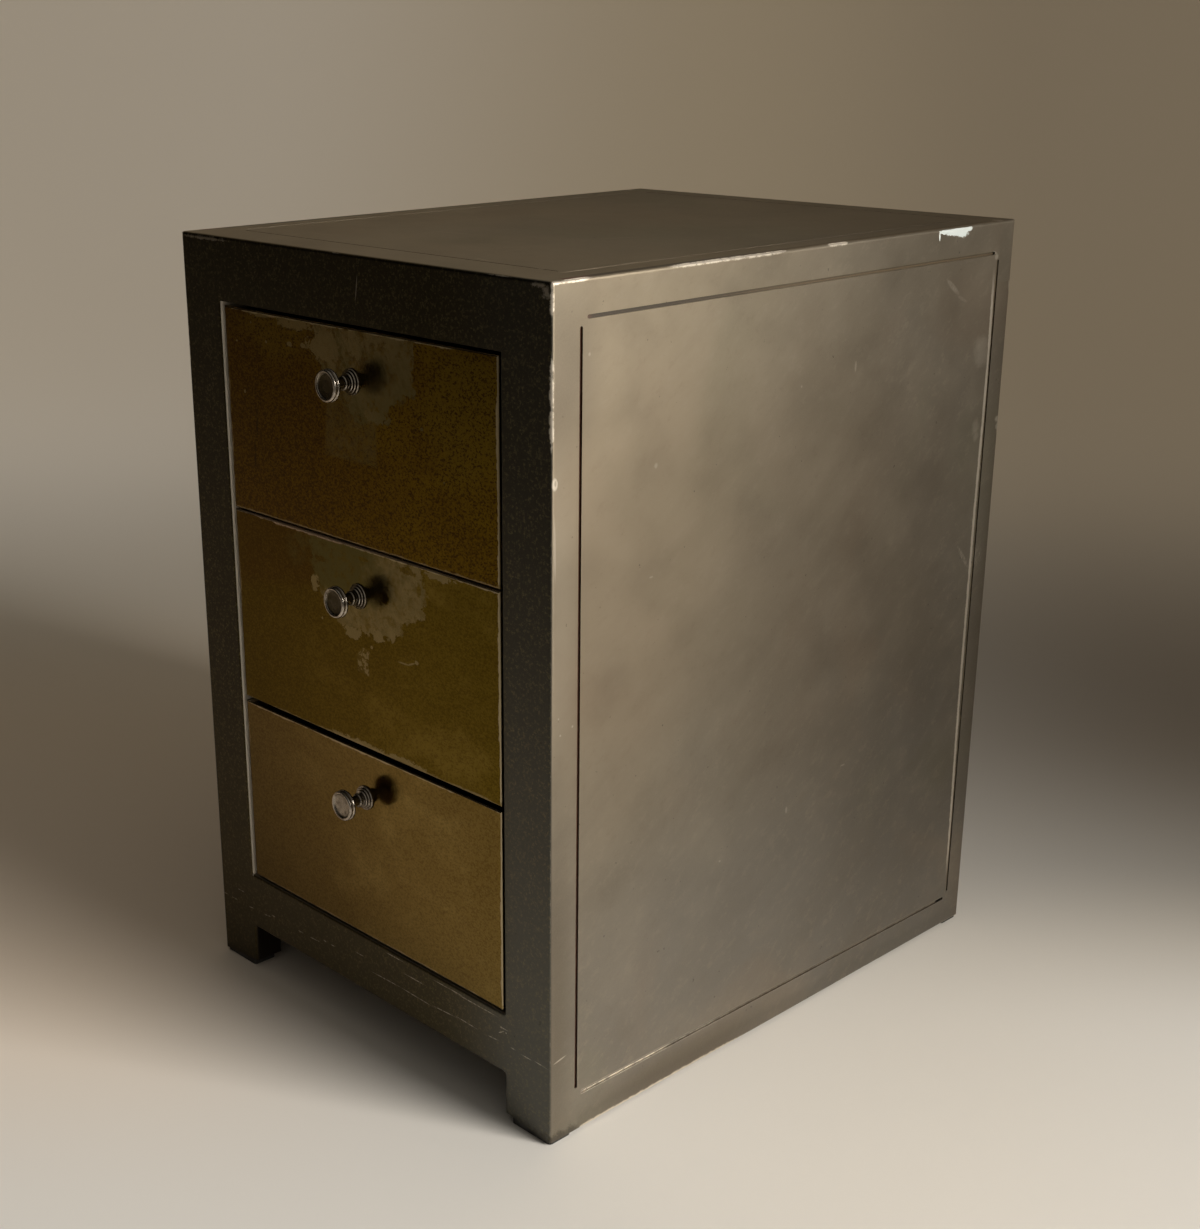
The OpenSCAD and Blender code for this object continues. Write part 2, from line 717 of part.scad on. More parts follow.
drawer_front(1);  // drawer_1_front
drawer_inner_front(1);  // drawer_1_inner_front
drawer_tray(1);  // drawer_1_tray
drawer_back(1);  // drawer_1_back
drawer_slide(1, false);  // drawer_1_slide_right
drawer_slide(1, true);  // drawer_1_slide_left
knob(1);  // knob_1
knob_plate(1);  // knob_plate_1
knob_screw(1);  // knob_screw_1
drawer_front(2);  // drawer_2_front
drawer_inner_front(2);  // drawer_2_inner_front
drawer_tray(2);  // drawer_2_tray
drawer_back(2);  // drawer_2_back
drawer_slide(2, false);  // drawer_2_slide_right
drawer_slide(2, true);  // drawer_2_slide_left
knob(2);  // knob_2
knob_plate(2);  // knob_plate_2
knob_screw(2);  // knob_screw_2
drawer_front(3);  // drawer_3_front
drawer_inner_front(3);  // drawer_3_inner_front
drawer_tray(3);  // drawer_3_tray
drawer_back(3);  // drawer_3_back
drawer_slide(3, false);  // drawer_3_slide_right
drawer_slide(3, true);  // drawer_3_slide_left
knob(3);  // knob_3
knob_plate(3);  // knob_plate_3
knob_screw(3);  // knob_screw_3
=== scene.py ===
"""Small steel drawer cabinet: finishes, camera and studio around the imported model."""
import math

import bpy
from mathutils import Matrix, Vector


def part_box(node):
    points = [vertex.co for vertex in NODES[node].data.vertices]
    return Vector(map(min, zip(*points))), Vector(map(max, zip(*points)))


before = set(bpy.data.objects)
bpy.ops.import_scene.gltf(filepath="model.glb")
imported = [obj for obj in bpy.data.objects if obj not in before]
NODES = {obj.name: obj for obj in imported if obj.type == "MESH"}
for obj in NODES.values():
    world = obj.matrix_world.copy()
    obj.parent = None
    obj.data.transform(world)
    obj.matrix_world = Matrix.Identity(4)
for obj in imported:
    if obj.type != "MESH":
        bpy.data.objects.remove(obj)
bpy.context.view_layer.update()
MM = 0.001


# ---------------------------------------------------------------- places taken from the frame

def span(node):
    """Lowest and highest corner of a CAD node."""
    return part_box(node)


POST_LOW, POST_HIGH = span("front_post_right")

# The case's right side, front, rear and top, its lower edge, and the floor under its feet.
HALF_W = POST_HIGH.x
FRONT_Y = POST_LOW.y
REAR_Y = span("rear_header")[1].y
TOP_Z = span("front_header")[1].z
LEG_Z = span("side_bottom_rail_right")[0].z
FLOOR_Z = span("foot_front_right")[0].z
# The slot at the rear of the side panel, and the side of the drawers' opening.
REAR_SLOT_Y = span("side_panel_right")[1].y
REVEAL_X = POST_LOW.x


# ---------------------------------------------------------------- a short way to write node graphs

class Look:
    """A material whose colour, roughness and bump are worked out from object coordinates."""

    def __init__(self, name):
        self.material = bpy.data.materials.new(name)
        self.material.use_nodes = True
        self.tree = self.material.node_tree
        self.shader = self.tree.nodes["Principled BSDF"]
        place = self.tree.nodes.new("ShaderNodeTexCoord")
        self.point = place.outputs["Object"]
        split = self.node("ShaderNodeSeparateXYZ", self.point)
        self.x, self.y, self.z = split.outputs
        facing = self.node("ShaderNodeSeparateXYZ", place.outputs["Normal"])
        self.face_x, self.face_y, self.face_z = facing.outputs

    def node(self, kind, *values, **settings):
        made = self.tree.nodes.new(kind)
        for key, value in settings.items():
            setattr(made, key, value)
        for socket, value in zip(made.inputs, values):
            self.put(socket, value)
        return made

    def put(self, socket, value):
        if value is None:
            return
        if isinstance(value, bpy.types.NodeSocket):
            self.tree.links.new(value, socket)
        elif socket.type == "RGBA" and len(value) == 3:
            socket.default_value = (*value, 1.0)
        else:
            socket.default_value = value

    def math(self, operation, *values, clamp=False):
        return self.node("ShaderNodeMath", *values, operation=operation, use_clamp=clamp).outputs[0]

    def add(self, a, b):
        return self.math("ADD", a, b)

    def sub(self, a, b):
        return self.math("SUBTRACT", a, b)

    def mul(self, a, b):
        return self.math("MULTIPLY", a, b)

    def low(self, *values):
        return self.fold("MINIMUM", values)

    def high(self, *values):
        return self.fold("MAXIMUM", values)

    def fold(self, operation, values):
        """One value out of many. A generator's are made one by one, which keeps few of them waiting."""
        result = None
        for value in values:
            result = value if result is None else self.math(operation, result, value)
        return result

    def ease(self, value, start, end, low=0.0, high=1.0):
        """Smooth step from low at start to high at end."""
        made = self.node("ShaderNodeMapRange", interpolation_type="SMOOTHSTEP")
        for name, number in (("Value", value), ("From Min", start), ("From Max", end),
                             ("To Min", low), ("To Max", high)):
            self.put(made.inputs[name], number)
        return made.outputs["Result"]

    def stretch(self, scale, offset=(0.0, 0.0, 0.0), turn=(0.0, 0.0, 0.0)):
        """Object coordinates scaled along each axis."""
        return self.node("ShaderNodeMapping", self.point, offset, turn, scale).outputs["Vector"]

    def streaked(self, turn, lengths):
        """Object coordinates turned and then divided by lengths, for streaks that lie at a slant."""
        made = self.node("ShaderNodeMapping", self.point, None, turn, lengths, vector_type="TEXTURE")
        return made.outputs["Vector"]

    def noise(self, scale, detail=3.0, rough=0.5, vector=None, distort=0.0):
        made = self.node("ShaderNodeTexNoise")
        self.put(made.inputs["Vector"], vector or self.point)
        made.inputs["Scale"].default_value = scale
        made.inputs["Detail"].default_value = detail
        made.inputs["Roughness"].default_value = rough
        made.inputs["Distortion"].default_value = distort
        return made.outputs["Fac"]

    def blend(self, factor, a, b):
        made = self.node("ShaderNodeMix", data_type="RGBA")
        self.put(made.inputs["Factor"], factor)
        self.put(made.inputs[6], a)
        self.put(made.inputs[7], b)
        return made.outputs[2]

    def blend_value(self, factor, a, b):
        return self.add(self.mul(a, self.sub(1.0, factor)), self.mul(b, factor))

    def bump(self, height, distance, strength=1.0):
        made = self.node("ShaderNodeBump")
        self.put(made.inputs["Height"], height)
        made.inputs["Distance"].default_value = distance
        made.inputs["Strength"].default_value = strength
        return made.outputs["Normal"]

    def near(self, value, centre, half, soft):
        """One where value is within half of centre, easing to none over soft."""
        away = self.math("ABSOLUTE", self.sub(value, centre))
        return self.ease(away, half + soft, half)

    def ellipse(self, plane, centre, radii, turn=0.0):
        """Distance from an ellipse's centre, one at its rim, on the front, side or top."""
        (u, v), (ru, rv), far = centre, radii, 1000.0
        middle, spin, size = {
            "front": ((u, 0, v), (0, -turn, 0), (ru, far, rv)),
            "side": ((0, u, v), (turn, 0, 0), (far, ru, rv)),
            "top": ((u, v, 0), (0, 0, turn), (ru, rv, far)),
        }[plane]
        made = self.node("ShaderNodeMapping", self.point, middle, spin, size, vector_type="TEXTURE")
        return self.node("ShaderNodeVectorMath", made.outputs["Vector"], operation="LENGTH").outputs["Value"]

    def patch(self, plane, ovals, ragged, amount, soft=0.05):
        """The union of some ellipses, each (u, v, radius, radius), with one ragged rim."""
        reach = self.fold("MINIMUM", (self.ellipse(plane, oval[:2], oval[2:]) for oval in ovals))
        reach = self.add(reach, self.mul(self.sub(ragged, 0.5), amount))
        return self.ease(reach, 1.0 + soft, 1.0 - soft)

    def strokes(self, plane, lines):
        """Scratches: straight strokes that taper at both ends, each (start, end, half width)."""
        def reach(start, end, half):
            du, dv = end[0] - start[0], end[1] - start[1]
            centre = ((start[0] + end[0]) / 2, (start[1] + end[1]) / 2)
            return self.ellipse(plane, centre, (math.hypot(du, dv) * 0.55, half), math.atan2(dv, du))
        return self.ease(self.fold("MINIMUM", (reach(*line) for line in lines)), 1.0, 0.5)

    def inside(self, corners, ragged, amount, soft=0.0004):
        """A convex outline on the front with a ragged rim: (x, z) corners, anticlockwise from the front."""
        out = None
        for (x0, z0), (x1, z1) in zip(corners, corners[1:] + corners[:1]):
            length = math.hypot(x1 - x0, z1 - z0)
            outward = ((z1 - z0) / length, 0.0, -(x1 - x0) / length)
            across = self.node("ShaderNodeVectorMath", self.point, outward, operation="DOT_PRODUCT")
            beyond = self.sub(across.outputs["Value"], outward[0] * x0 + outward[2] * z0)
            out = beyond if out is None else self.high(out, beyond)
        out = self.add(out, self.mul(self.sub(ragged, 0.5), amount))
        return self.ease(out, soft, -soft)

    def finish(self, colour, roughness, metallic, normal=None):
        self.put(self.shader.inputs["Base Color"], colour)
        self.put(self.shader.inputs["Roughness"], roughness)
        self.put(self.shader.inputs["Metallic"], metallic)
        if normal is not None:
            self.put(self.shader.inputs["Normal"], normal)
        return self.material


# ---------------------------------------------------------------- materials

STEEL_CLEAN = (0.345, 0.290, 0.208)
# Painted shade, towards the rear and low down.
STEEL_SHADED = (0.205, 0.178, 0.142)
STEEL_COOL = (0.232, 0.219, 0.198)
STEEL_PALE = (0.370, 0.316, 0.238)
# Painted highlight on the post's side.
STEEL_PAINTED_HIGHLIGHT = (0.460, 0.395, 0.305)
STEEL_WARM = (0.300, 0.232, 0.165)
STEEL_GREEN = (0.245, 0.228, 0.158)
# Painted glow on the side beside the post.
STEEL_GLOW = (0.430, 0.330, 0.228)
STEEL_BROWN = (0.205, 0.158, 0.112)
# Painted shade towards the side's rear.
STEEL_PAINTED_SHADE = (0.118, 0.094, 0.062)
# A dull tone in random blotches, and painted shade on the post and the bottom rail.
STEEL_DULL_AND_SHADE = (0.180, 0.150, 0.112)
# Bare metal at worn places, and painted highlights by the slots and on the opening's left side.
STEEL_BARE_AND_HIGHLIGHT = (0.800, 0.715, 0.590)
# Painted shade on the front faces.
FRONT_DEEP_SHADE = (0.0135, 0.0095, 0.0022)
OLIVE_FILM = (0.300, 0.240, 0.110)
# Warm and cool tints of the front faces' painted shade.
FRONT_SHADE_WARM = (0.235, 0.190, 0.090)
FRONT_SHADE_COOL = (0.245, 0.248, 0.225)
# Dirt specks, and painted shade on the legs near the floor and inside them.
GRIME_AND_SHADE = (0.020, 0.014, 0.009)
SLOT_RUST = (0.085, 0.032, 0.018)
SLOT_BROWN = (0.026, 0.018, 0.010)
SLOT_PALE = (0.070, 0.048, 0.024)
PAINT = (0.560, 0.600, 0.575)


def x_at(right):
    """The x of a spot so many millimetres right of the case's left side."""
    return right * MM - HALF_W


def y_at(back):
    """The y of a spot so many millimetres behind the case's front."""
    return back * MM + FRONT_Y


def z_at(up):
    """The z of a spot so many millimetres above the case's lower edge."""
    return up * MM + LEG_Z


def place(right, up):
    """A spot on the front, from the case's lower left corner."""
    return x_at(right), z_at(up)


def side_place(back, up):
    """A spot on the right side, from the case's lower front corner."""
    return y_at(back), z_at(up)


def top_place(right, back):
    """A spot on the top, from the case's front left corner."""
    return x_at(right), y_at(back)


def lines_at(spot, half, lines):
    """Strokes of one half width, from (start, end) pairs in millimetres."""
    return [(spot(*start), spot(*end), half * MM) for start, end in lines]


def ovals_at(spot, ovals):
    """Ellipses from (centre, centre, radius, radius) in millimetres."""
    return [(*spot(*oval[:2]), oval[2] * MM, oval[3] * MM) for oval in ovals]


def edge(look, a, b, width):
    """A line of bare metal along the edge where the distances a and b are both small."""
    return look.ease(look.high(a, b), width, look.mul(width, 0.35))


def case_edges(look):
    """Wear along the case's outer edges: thin lines, with bare runs where hands and feet reach."""
    side = look.sub(HALF_W, look.math("ABSOLUTE", look.x))
    front = look.sub(look.y, FRONT_Y)
    rear = look.sub(REAR_Y, look.y)
    top = look.sub(TOP_Z, look.z)
    by_leg = look.ease(look.y, y_at(36), y_at(26), 0.0, 9 * MM)
    foot = look.add(look.sub(look.z, LEG_Z), by_leg)
    fine = look.noise(130.0, 4.0, 0.75)
    broad = look.noise(17.0, 2.0, 0.5)

    post_runs = look.high(look.near(look.z, z_at(692), 8 * MM, 12 * MM),
                          look.near(look.z, z_at(614), 22 * MM, 18 * MM))
    rail_runs = look.high(look.near(look.y, y_at(190), 50 * MM, 30 * MM),
                          look.near(look.y, y_at(325), 8 * MM, 8 * MM),
                          look.near(look.y, y_at(12), 14 * MM, 20 * MM))
    foot_runs = look.near(look.y, y_at(130), 70 * MM, 60 * MM)
    nicks = look.ease(broad, 0.50, 0.66)

    def line(a, b, runs, thin, wide):
        width = look.ease(runs, 0.0, 1.0, thin * MM, wide * MM)
        width = look.mul(width, look.ease(fine, 0.32, 0.62, 0.55, 1.35))
        shown = look.ease(look.add(runs, look.mul(look.sub(fine, 0.5), 1.1)), 0.0, 0.45, 0.20, 0.92)
        return look.mul(edge(look, a, b, width), shown)

    # Two distances that meet at an edge, where its bare runs are, and the line's two widths in millimetres.
    kinds = ((side, front, post_runs, 0.9, 2.6), (side, top, rail_runs, 0.7, 2.7),
             (front, top, nicks, 0.15, 1.2), (side, rear, nicks, 0.3, 1.7),
             (rear, top, nicks, 0.3, 1.4), (side, foot, foot_runs, 0.8, 2.3))
    return look.fold("MAXIMUM", (line(*kind) for kind in kinds))


# Fine scratches on the sill and legs, as start and end in millimetres on the front.
SILL_SCRATCHES = [
    ((0, 60), (9, 60)), ((15, 60), (25, 60)), ((26, 73), (38, 73)), ((44, 60), (52, 61)),
    ((69, 61), (82, 63)), ((80, 65), (88, 65)), ((124, 65), (133, 65)), ((141, 65), (158, 66)),
    ((162, 70), (168, 70)), ((174, 70), (180, 70)), ((210, 77), (223, 77)), ((232, 66), (276, 67)),
    ((272, 67), (322, 66)),
    ((316, 67), (352, 69)), ((346, 70), (377, 69)), ((388, 69), (403, 70)), ((416, 70), (423, 70)),
    ((427, 69), (442, 69)), ((444, 70), (463, 69)), ((254, 94), (281, 94)), ((318, 93), (362, 93)),
    ((345, 92), (403, 92)), ((278, 83), (310, 83)), ((401, 77), (409, 82)), ((404, 84), (414, 84)),
]
HEADER_SCRATCH = [((242, 663), (245.5, 686))]
# Rubbed spots on the sill and by the header's corners.
FRONT_SPOTS = [
    (405, 84, 1.1, 0.8), (411, 81, 0.8, 0.7), (36, 697, 26, 1.4), (457, 692, 3.0, 4.0), (450, 697, 7, 1.6),
]


def front_marks(look, ragged):
    """Worn marks on the front frame: fine broken scratches over the sill and legs, and small ones above."""
    on_front = look.ease(look.face_y, -0.6, -0.9)
    broken = look.ease(look.noise(320.0, 3.0, 0.6), 0.42, 0.58, 0.25, 1.0)
    lines = look.strokes("front", lines_at(place, 0.62, SILL_SCRATCHES))
    lines = look.mul(lines, look.mul(broken, 0.36))
    upright = look.mul(look.strokes("front", lines_at(place, 0.6, HEADER_SCRATCH)), 0.26)
    spots = look.mul(look.patch("front", ovals_at(place, FRONT_SPOTS), ragged, 4.2, 0.4), 0.30)
    return look.high(look.mul(look.high(lines, upright, spots), on_front), post_marks(look, ragged))


def tones(look, colour, clouds, ovals):
    """Broad soft tones on the side, each a colour, its strength and (y, z, radius, radius) in millimetres."""
    on_side = look.ease(look.face_x, 0.5, 0.9)
    for tone, strength, (y, z, ry, rz) in ovals:
        reach = look.ellipse("side", side_place(y, z), (ry * MM, rz * MM))
        reach = look.add(reach, look.mul(look.sub(clouds, 0.5), 1.2))
        colour = look.blend(look.mul(look.ease(reach, 1.25, 0.25, 0.0, strength), on_side), colour, tone)
    return colour


def side_tones(look, colour, clouds):
    """The right side's broad tones: on the post a painted highlight at mid height and painted shade above and
    below, a painted glow beside it, a brown middle, a cool lower front, and painted shade at the rear and
    along the bottom rail.
    """
    return tones(look, colour, clouds, [
        (STEEL_GLOW, 0.36, (60, 480, 190, 220)), (STEEL_BROWN, 0.30, (330, 430, 220, 220)),
        (STEEL_COOL, 0.30, (170, 120, 200, 130)), (STEEL_PAINTED_SHADE, 0.30, (540, 190, 180, 190)),
        (STEEL_PAINTED_SHADE, 0.62, (594, 380, 32, 440)), (STEEL_PAINTED_HIGHLIGHT, 0.42, (4, 430, 24, 150)),
        (STEEL_DULL_AND_SHADE, 0.72, (4, 130, 26, 190)), (STEEL_DULL_AND_SHADE, 0.62, (8, 640, 44, 80)),
        (STEEL_DULL_AND_SHADE, 0.85, (150, 12, 130, 20))])


def post_marks(look, ragged):
    """Worn marks on the side of the front post: a ring nick, a scratch by the foot and specks by the edge."""
    on_side = look.ease(look.face_x, 0.6, 0.9)
    rim = look.patch("side", ovals_at(side_place, [(3.6, 555, 2.6, 4.6)]), ragged, 0.7, 0.25)
    hollow = look.patch("side", ovals_at(side_place, [(4.0, 555.5, 1.0, 2.2)]), ragged, 0.5, 0.3)
    ring = look.mul(rim, look.sub(1.0, look.mul(hollow, 0.6)))
    scratch = look.strokes("side", lines_at(side_place, 0.9, [((3, 73), (19, 76))]))
    low_run = look.strokes("side", lines_at(side_place, 1.2, [((3.2, 532), (4.2, 478))]))
    specks = ovals_at(side_place, [(10, 358, 0.9, 0.9), (23, 362, 0.9, 0.9), (8, 372, 0.7, 0.7)])
    marks = (look.mul(ring, 0.75), look.mul(scratch, 0.5), look.mul(low_run, 0.35),
             look.mul(look.patch("side", specks, ragged, 1.0, 0.4), 0.4))
    return look.mul(look.high(*marks), on_side)


def side_marks(look, ragged):
    """Worn marks on the right side: rubbed slot edges, smears by the rear slot and pale specks."""
    on_side = look.ease(look.face_x, 0.6, 0.9)

    def seen(ovals, rough, amount, soft):
        return look.patch("side", ovals_at(side_place, ovals), rough, amount, soft)

    scratchy = look.noise(300.0, 5.0, 0.8, look.stretch((1.6, 1.6, 0.5), turn=(0.5, 0, 0)))
    smears = seen([(545, 590, 10, 8), (548, 580, 11, 9), (546, 515, 5, 7), (548, 506, 4, 4)],
                  ragged, 1.3, 0.5)
    scuffs = look.mul(look.strokes("side", lines_at(side_place, 2.8, [((531, 405), (554, 377))])),
                      look.ease(scratchy, 0.44, 0.57, 0.10, 1.0))
    mesh = look.mul(seen([(564, 387, 9, 14)], ragged, 1.2, 0.6), look.ease(scratchy, 0.48, 0.62))
    notches = seen([(583, 517, 5, 3), (585, 511, 4, 6), (584, 667, 1.6, 5), (584, 646, 2.2, 9),
                    (585, 690, 1.8, 5), (584, 603, 1.4, 3)], ragged, 1.6, 0.3)
    curl = look.high(look.strokes("side", lines_at(side_place, 1.2, [((552, 674), (560, 671))])),
                     seen([(559, 668.5, 2.6, 2.6)], ragged, 0.9, 0.4))
    specks = seen([(38, 645, 1.4, 1.4), (111, 551, 1.9, 1.9), (285, 588, 1.0, 1.0), (357, 595, 1.2, 4.0),
                   (292, 208, 1.3, 3.2), (372, 228, 3.0, 0.9), (108, 463, 2.0, 0.7), (203, 188, 1.2, 1.0)],
                  ragged, 1.4, 0.4)
    wipe = look.strokes("side", lines_at(side_place, 3.2, [((482, 656), (504, 640))]))
    wipe_end = look.strokes("side", lines_at(side_place, 2.0, [((500, 640), (518, 632))]))
    wipe = look.high(wipe, look.mul(wipe_end, 0.5))
    wipe = look.mul(wipe, look.ease(scratchy, 0.40, 0.60, 0.45, 1.0))
    marks = (look.mul(smears, 0.16), look.mul(scuffs, 0.26), look.mul(mesh, 0.19), look.mul(notches, 0.40),
             look.mul(curl, 0.35), look.mul(specks, 0.22), look.mul(wipe, 0.30))
    return look.mul(look.high(*marks), on_side)


def top_marks(look, ragged):
    """Pale rubs on the top: along the seams by the near corner, and faint smears."""
    on_top = look.ease(look.face_z, 0.6, 0.9)

    def rub(half, *lines):
        return look.strokes("top", lines_at(top_place, half, lines))

    bright = rub(2.0, ((433, 34), (435, 84)))
    faint = look.high(rub(1.1, ((430, 92), (425, 176))), rub(2.4, ((400, 45), (414, 41))),
                      rub(0.9, ((322, 54), (352, 46))))
    smears = rub(3.0, ((150, 150), (210, 160)), ((300, 205), (322, 250)), ((90, 70), (140, 74)))
    bright = look.mul(bright, look.ease(ragged, 0.35, 0.5, 0.55, 0.95))
    marks = (bright, look.mul(faint, 0.30), look.mul(smears, 0.10))
    return look.mul(look.high(*marks), on_top)


def paint_chip(look):
    """A splash of white paint on the top rail, ragged below, with one short run."""
    on_side = look.ease(look.face_x, 0.5, 0.8)
    shape = [(476, 697.0, 9, 2.2), (490, 696.0, 13, 3.4), (501, 695.0, 10, 5.0), (511, 697.0, 6, 2.4)]
    splash = look.patch("side", ovals_at(side_place, shape), look.noise(330.0, 4.0, 0.7), 1.5, 0.05)
    below = look.ease(look.z, z_at(699.0), z_at(698.2))
    run = look.strokes("side", lines_at(side_place, 1.4, [((467, 698), (467.5, 689))]))
    return look.mul(look.high(look.mul(splash, below), run), on_side)


def under_skin(look, start, end):
    """One between two depths below the case's sides, in millimetres."""
    depth = look.sub(HALF_W, look.math("ABSOLUTE", look.x))
    inner = look.ease(depth, (end + 2) * MM, end * MM)
    return look.mul(look.ease(depth, start * MM, (start + 0.6) * MM), inner)


# The slot below the side panel: its front end in millimetres, and how much it falls towards the rear.
LOW_SLOT_START = (40, 33.6)
LOW_SLOT_FALL = 0.01


def above_low_slot(look):
    """Height above the middle of the sloping slot below the side panel."""
    start_y, start_z = side_place(*LOW_SLOT_START)
    middle = look.sub(look.add(start_z, start_y * LOW_SLOT_FALL), look.mul(look.y, LOW_SLOT_FALL))
    return look.sub(look.z, middle)


def seams(look):
    """Dirt in the slots round the side panels: its share, and its colour."""
    past_front = look.ease(look.y, y_at(12), y_at(16))
    by_rear = look.ease(look.y, REAR_SLOT_Y - 6 * MM, REAR_SLOT_Y - 5 * MM, 1.0, 0.0)
    below = look.ease(above_low_slot(look), 6 * MM, 4 * MM)
    ledge = look.mul(look.ease(look.face_z, 0.4, 0.7), below)
    share = look.mul(look.mul(under_skin(look, 1.0, 7), past_front), look.mul(by_rear, look.sub(1.0, ledge)))
    along = look.ease(look.y, y_at(32), y_at(46))
    dirt = look.blend(along, SLOT_RUST, SLOT_BROWN)
    dirt = look.blend(look.ease(look.y, y_at(120), y_at(300)), dirt, SLOT_PALE)
    return share, dirt


def slot_glints(look, ragged):
    """Bare metal and painted highlights by the slots: a line down the panel's rear, painted light on the
    shaded walls of the rear slot, a painted highlight on the ledge below.
    """
    on_side = look.ease(look.math("ABSOLUTE", look.face_x), 0.6, 0.9)
    sway = look.ease(look.z, 0.26, 0.06, 0.0, 2.8 * MM)
    sway = look.add(sway, look.ease(look.z, 0.42, 0.56, 0.0, 2.0 * MM))
    sway = look.sub(sway, look.ease(look.z, 0.58, 0.66, 0.0, 1.6 * MM))
    off = look.sub(look.sub(look.y, REAR_SLOT_Y - 6.7 * MM), sway)
    thick = look.ease(ragged, 0.35, 0.6, 1.2 * MM, 1.8 * MM)
    line = look.ease(look.math("ABSOLUTE", off), look.add(thick, 0.5 * MM), thick)
    height = look.mul(look.ease(look.z, 0.052, 0.085), look.ease(look.z, 0.668, 0.625))
    line = look.mul(look.mul(line, height), look.mul(on_side, 0.74))

    # Painted light on the rear slot's walls, which lie in shade.
    walls = look.mul(look.near(look.y, REAR_SLOT_Y, 3.6 * MM, 0.4 * MM), under_skin(look, 0.9, 9))
    walls = look.mul(walls, look.ease(look.z, 0.026, 0.034, 0.0, 0.50))

    # Painted highlight on the ledge and lip of the slot below the panel, fading towards the rear.
    above = above_low_slot(look)
    bright = look.ease(look.y, y_at(128), y_at(150), 0.95, 0.45)
    bright = look.mul(bright, look.ease(look.y, y_at(190), y_at(240), 1.0, 0.45))
    started = look.ease(look.y, y_at(35), y_at(37))
    bright = look.mul(bright, look.mul(started, look.ease(look.y, y_at(558), y_at(554))))
    ledge = look.mul(look.ease(above, 6 * MM, 4 * MM), under_skin(look, 0.1, 4))
    ledge = look.mul(look.ease(look.face_z, 0.4, 0.7), ledge)
    broken = look.ease(ragged, 0.38, 0.55, 0.4, 1.0)
    lip = look.mul(look.near(above, -1.7 * MM, 0.5 * MM, 0.4 * MM), on_side)
    lip = look.mul(lip, look.mul(broken, 0.85))
    hem = look.mul(look.near(above, 1.9 * MM, 0.3 * MM, 0.4 * MM), on_side)
    hem = look.mul(hem, look.mul(broken, 0.25))
    lower = look.mul(look.high(look.mul(ledge, broken), lip, hem), bright)
    return look.high(line, walls, lower)


def shade_near_floor(look, ragged):
    """Painted shade on the legs near the floor and inside them, under the case."""
    rail = look.mul(look.ease(look.face_x, 0.6, 0.9), look.ease(look.y, y_at(28), y_at(36)))
    low = look.ease(look.add(look.z, look.mul(look.sub(ragged, 0.5), 0.02)), 0.013, 0.004, 0.0, 0.55)
    low = look.blend_value(rail, low, look.ease(look.z, 0.022, 0.012, 0.0, 0.13))
    inner = look.mul(look.ease(look.math("ABSOLUTE", look.face_x), 0.5, 0.9),
                     look.ease(look.math("ABSOLUTE", look.x), HALF_W - 44 * MM, HALF_W - 48 * MM))
    inner = look.mul(inner, look.ease(look.z, 0.052, 0.040, 0.0, 0.85))
    return look.high(low, inner)


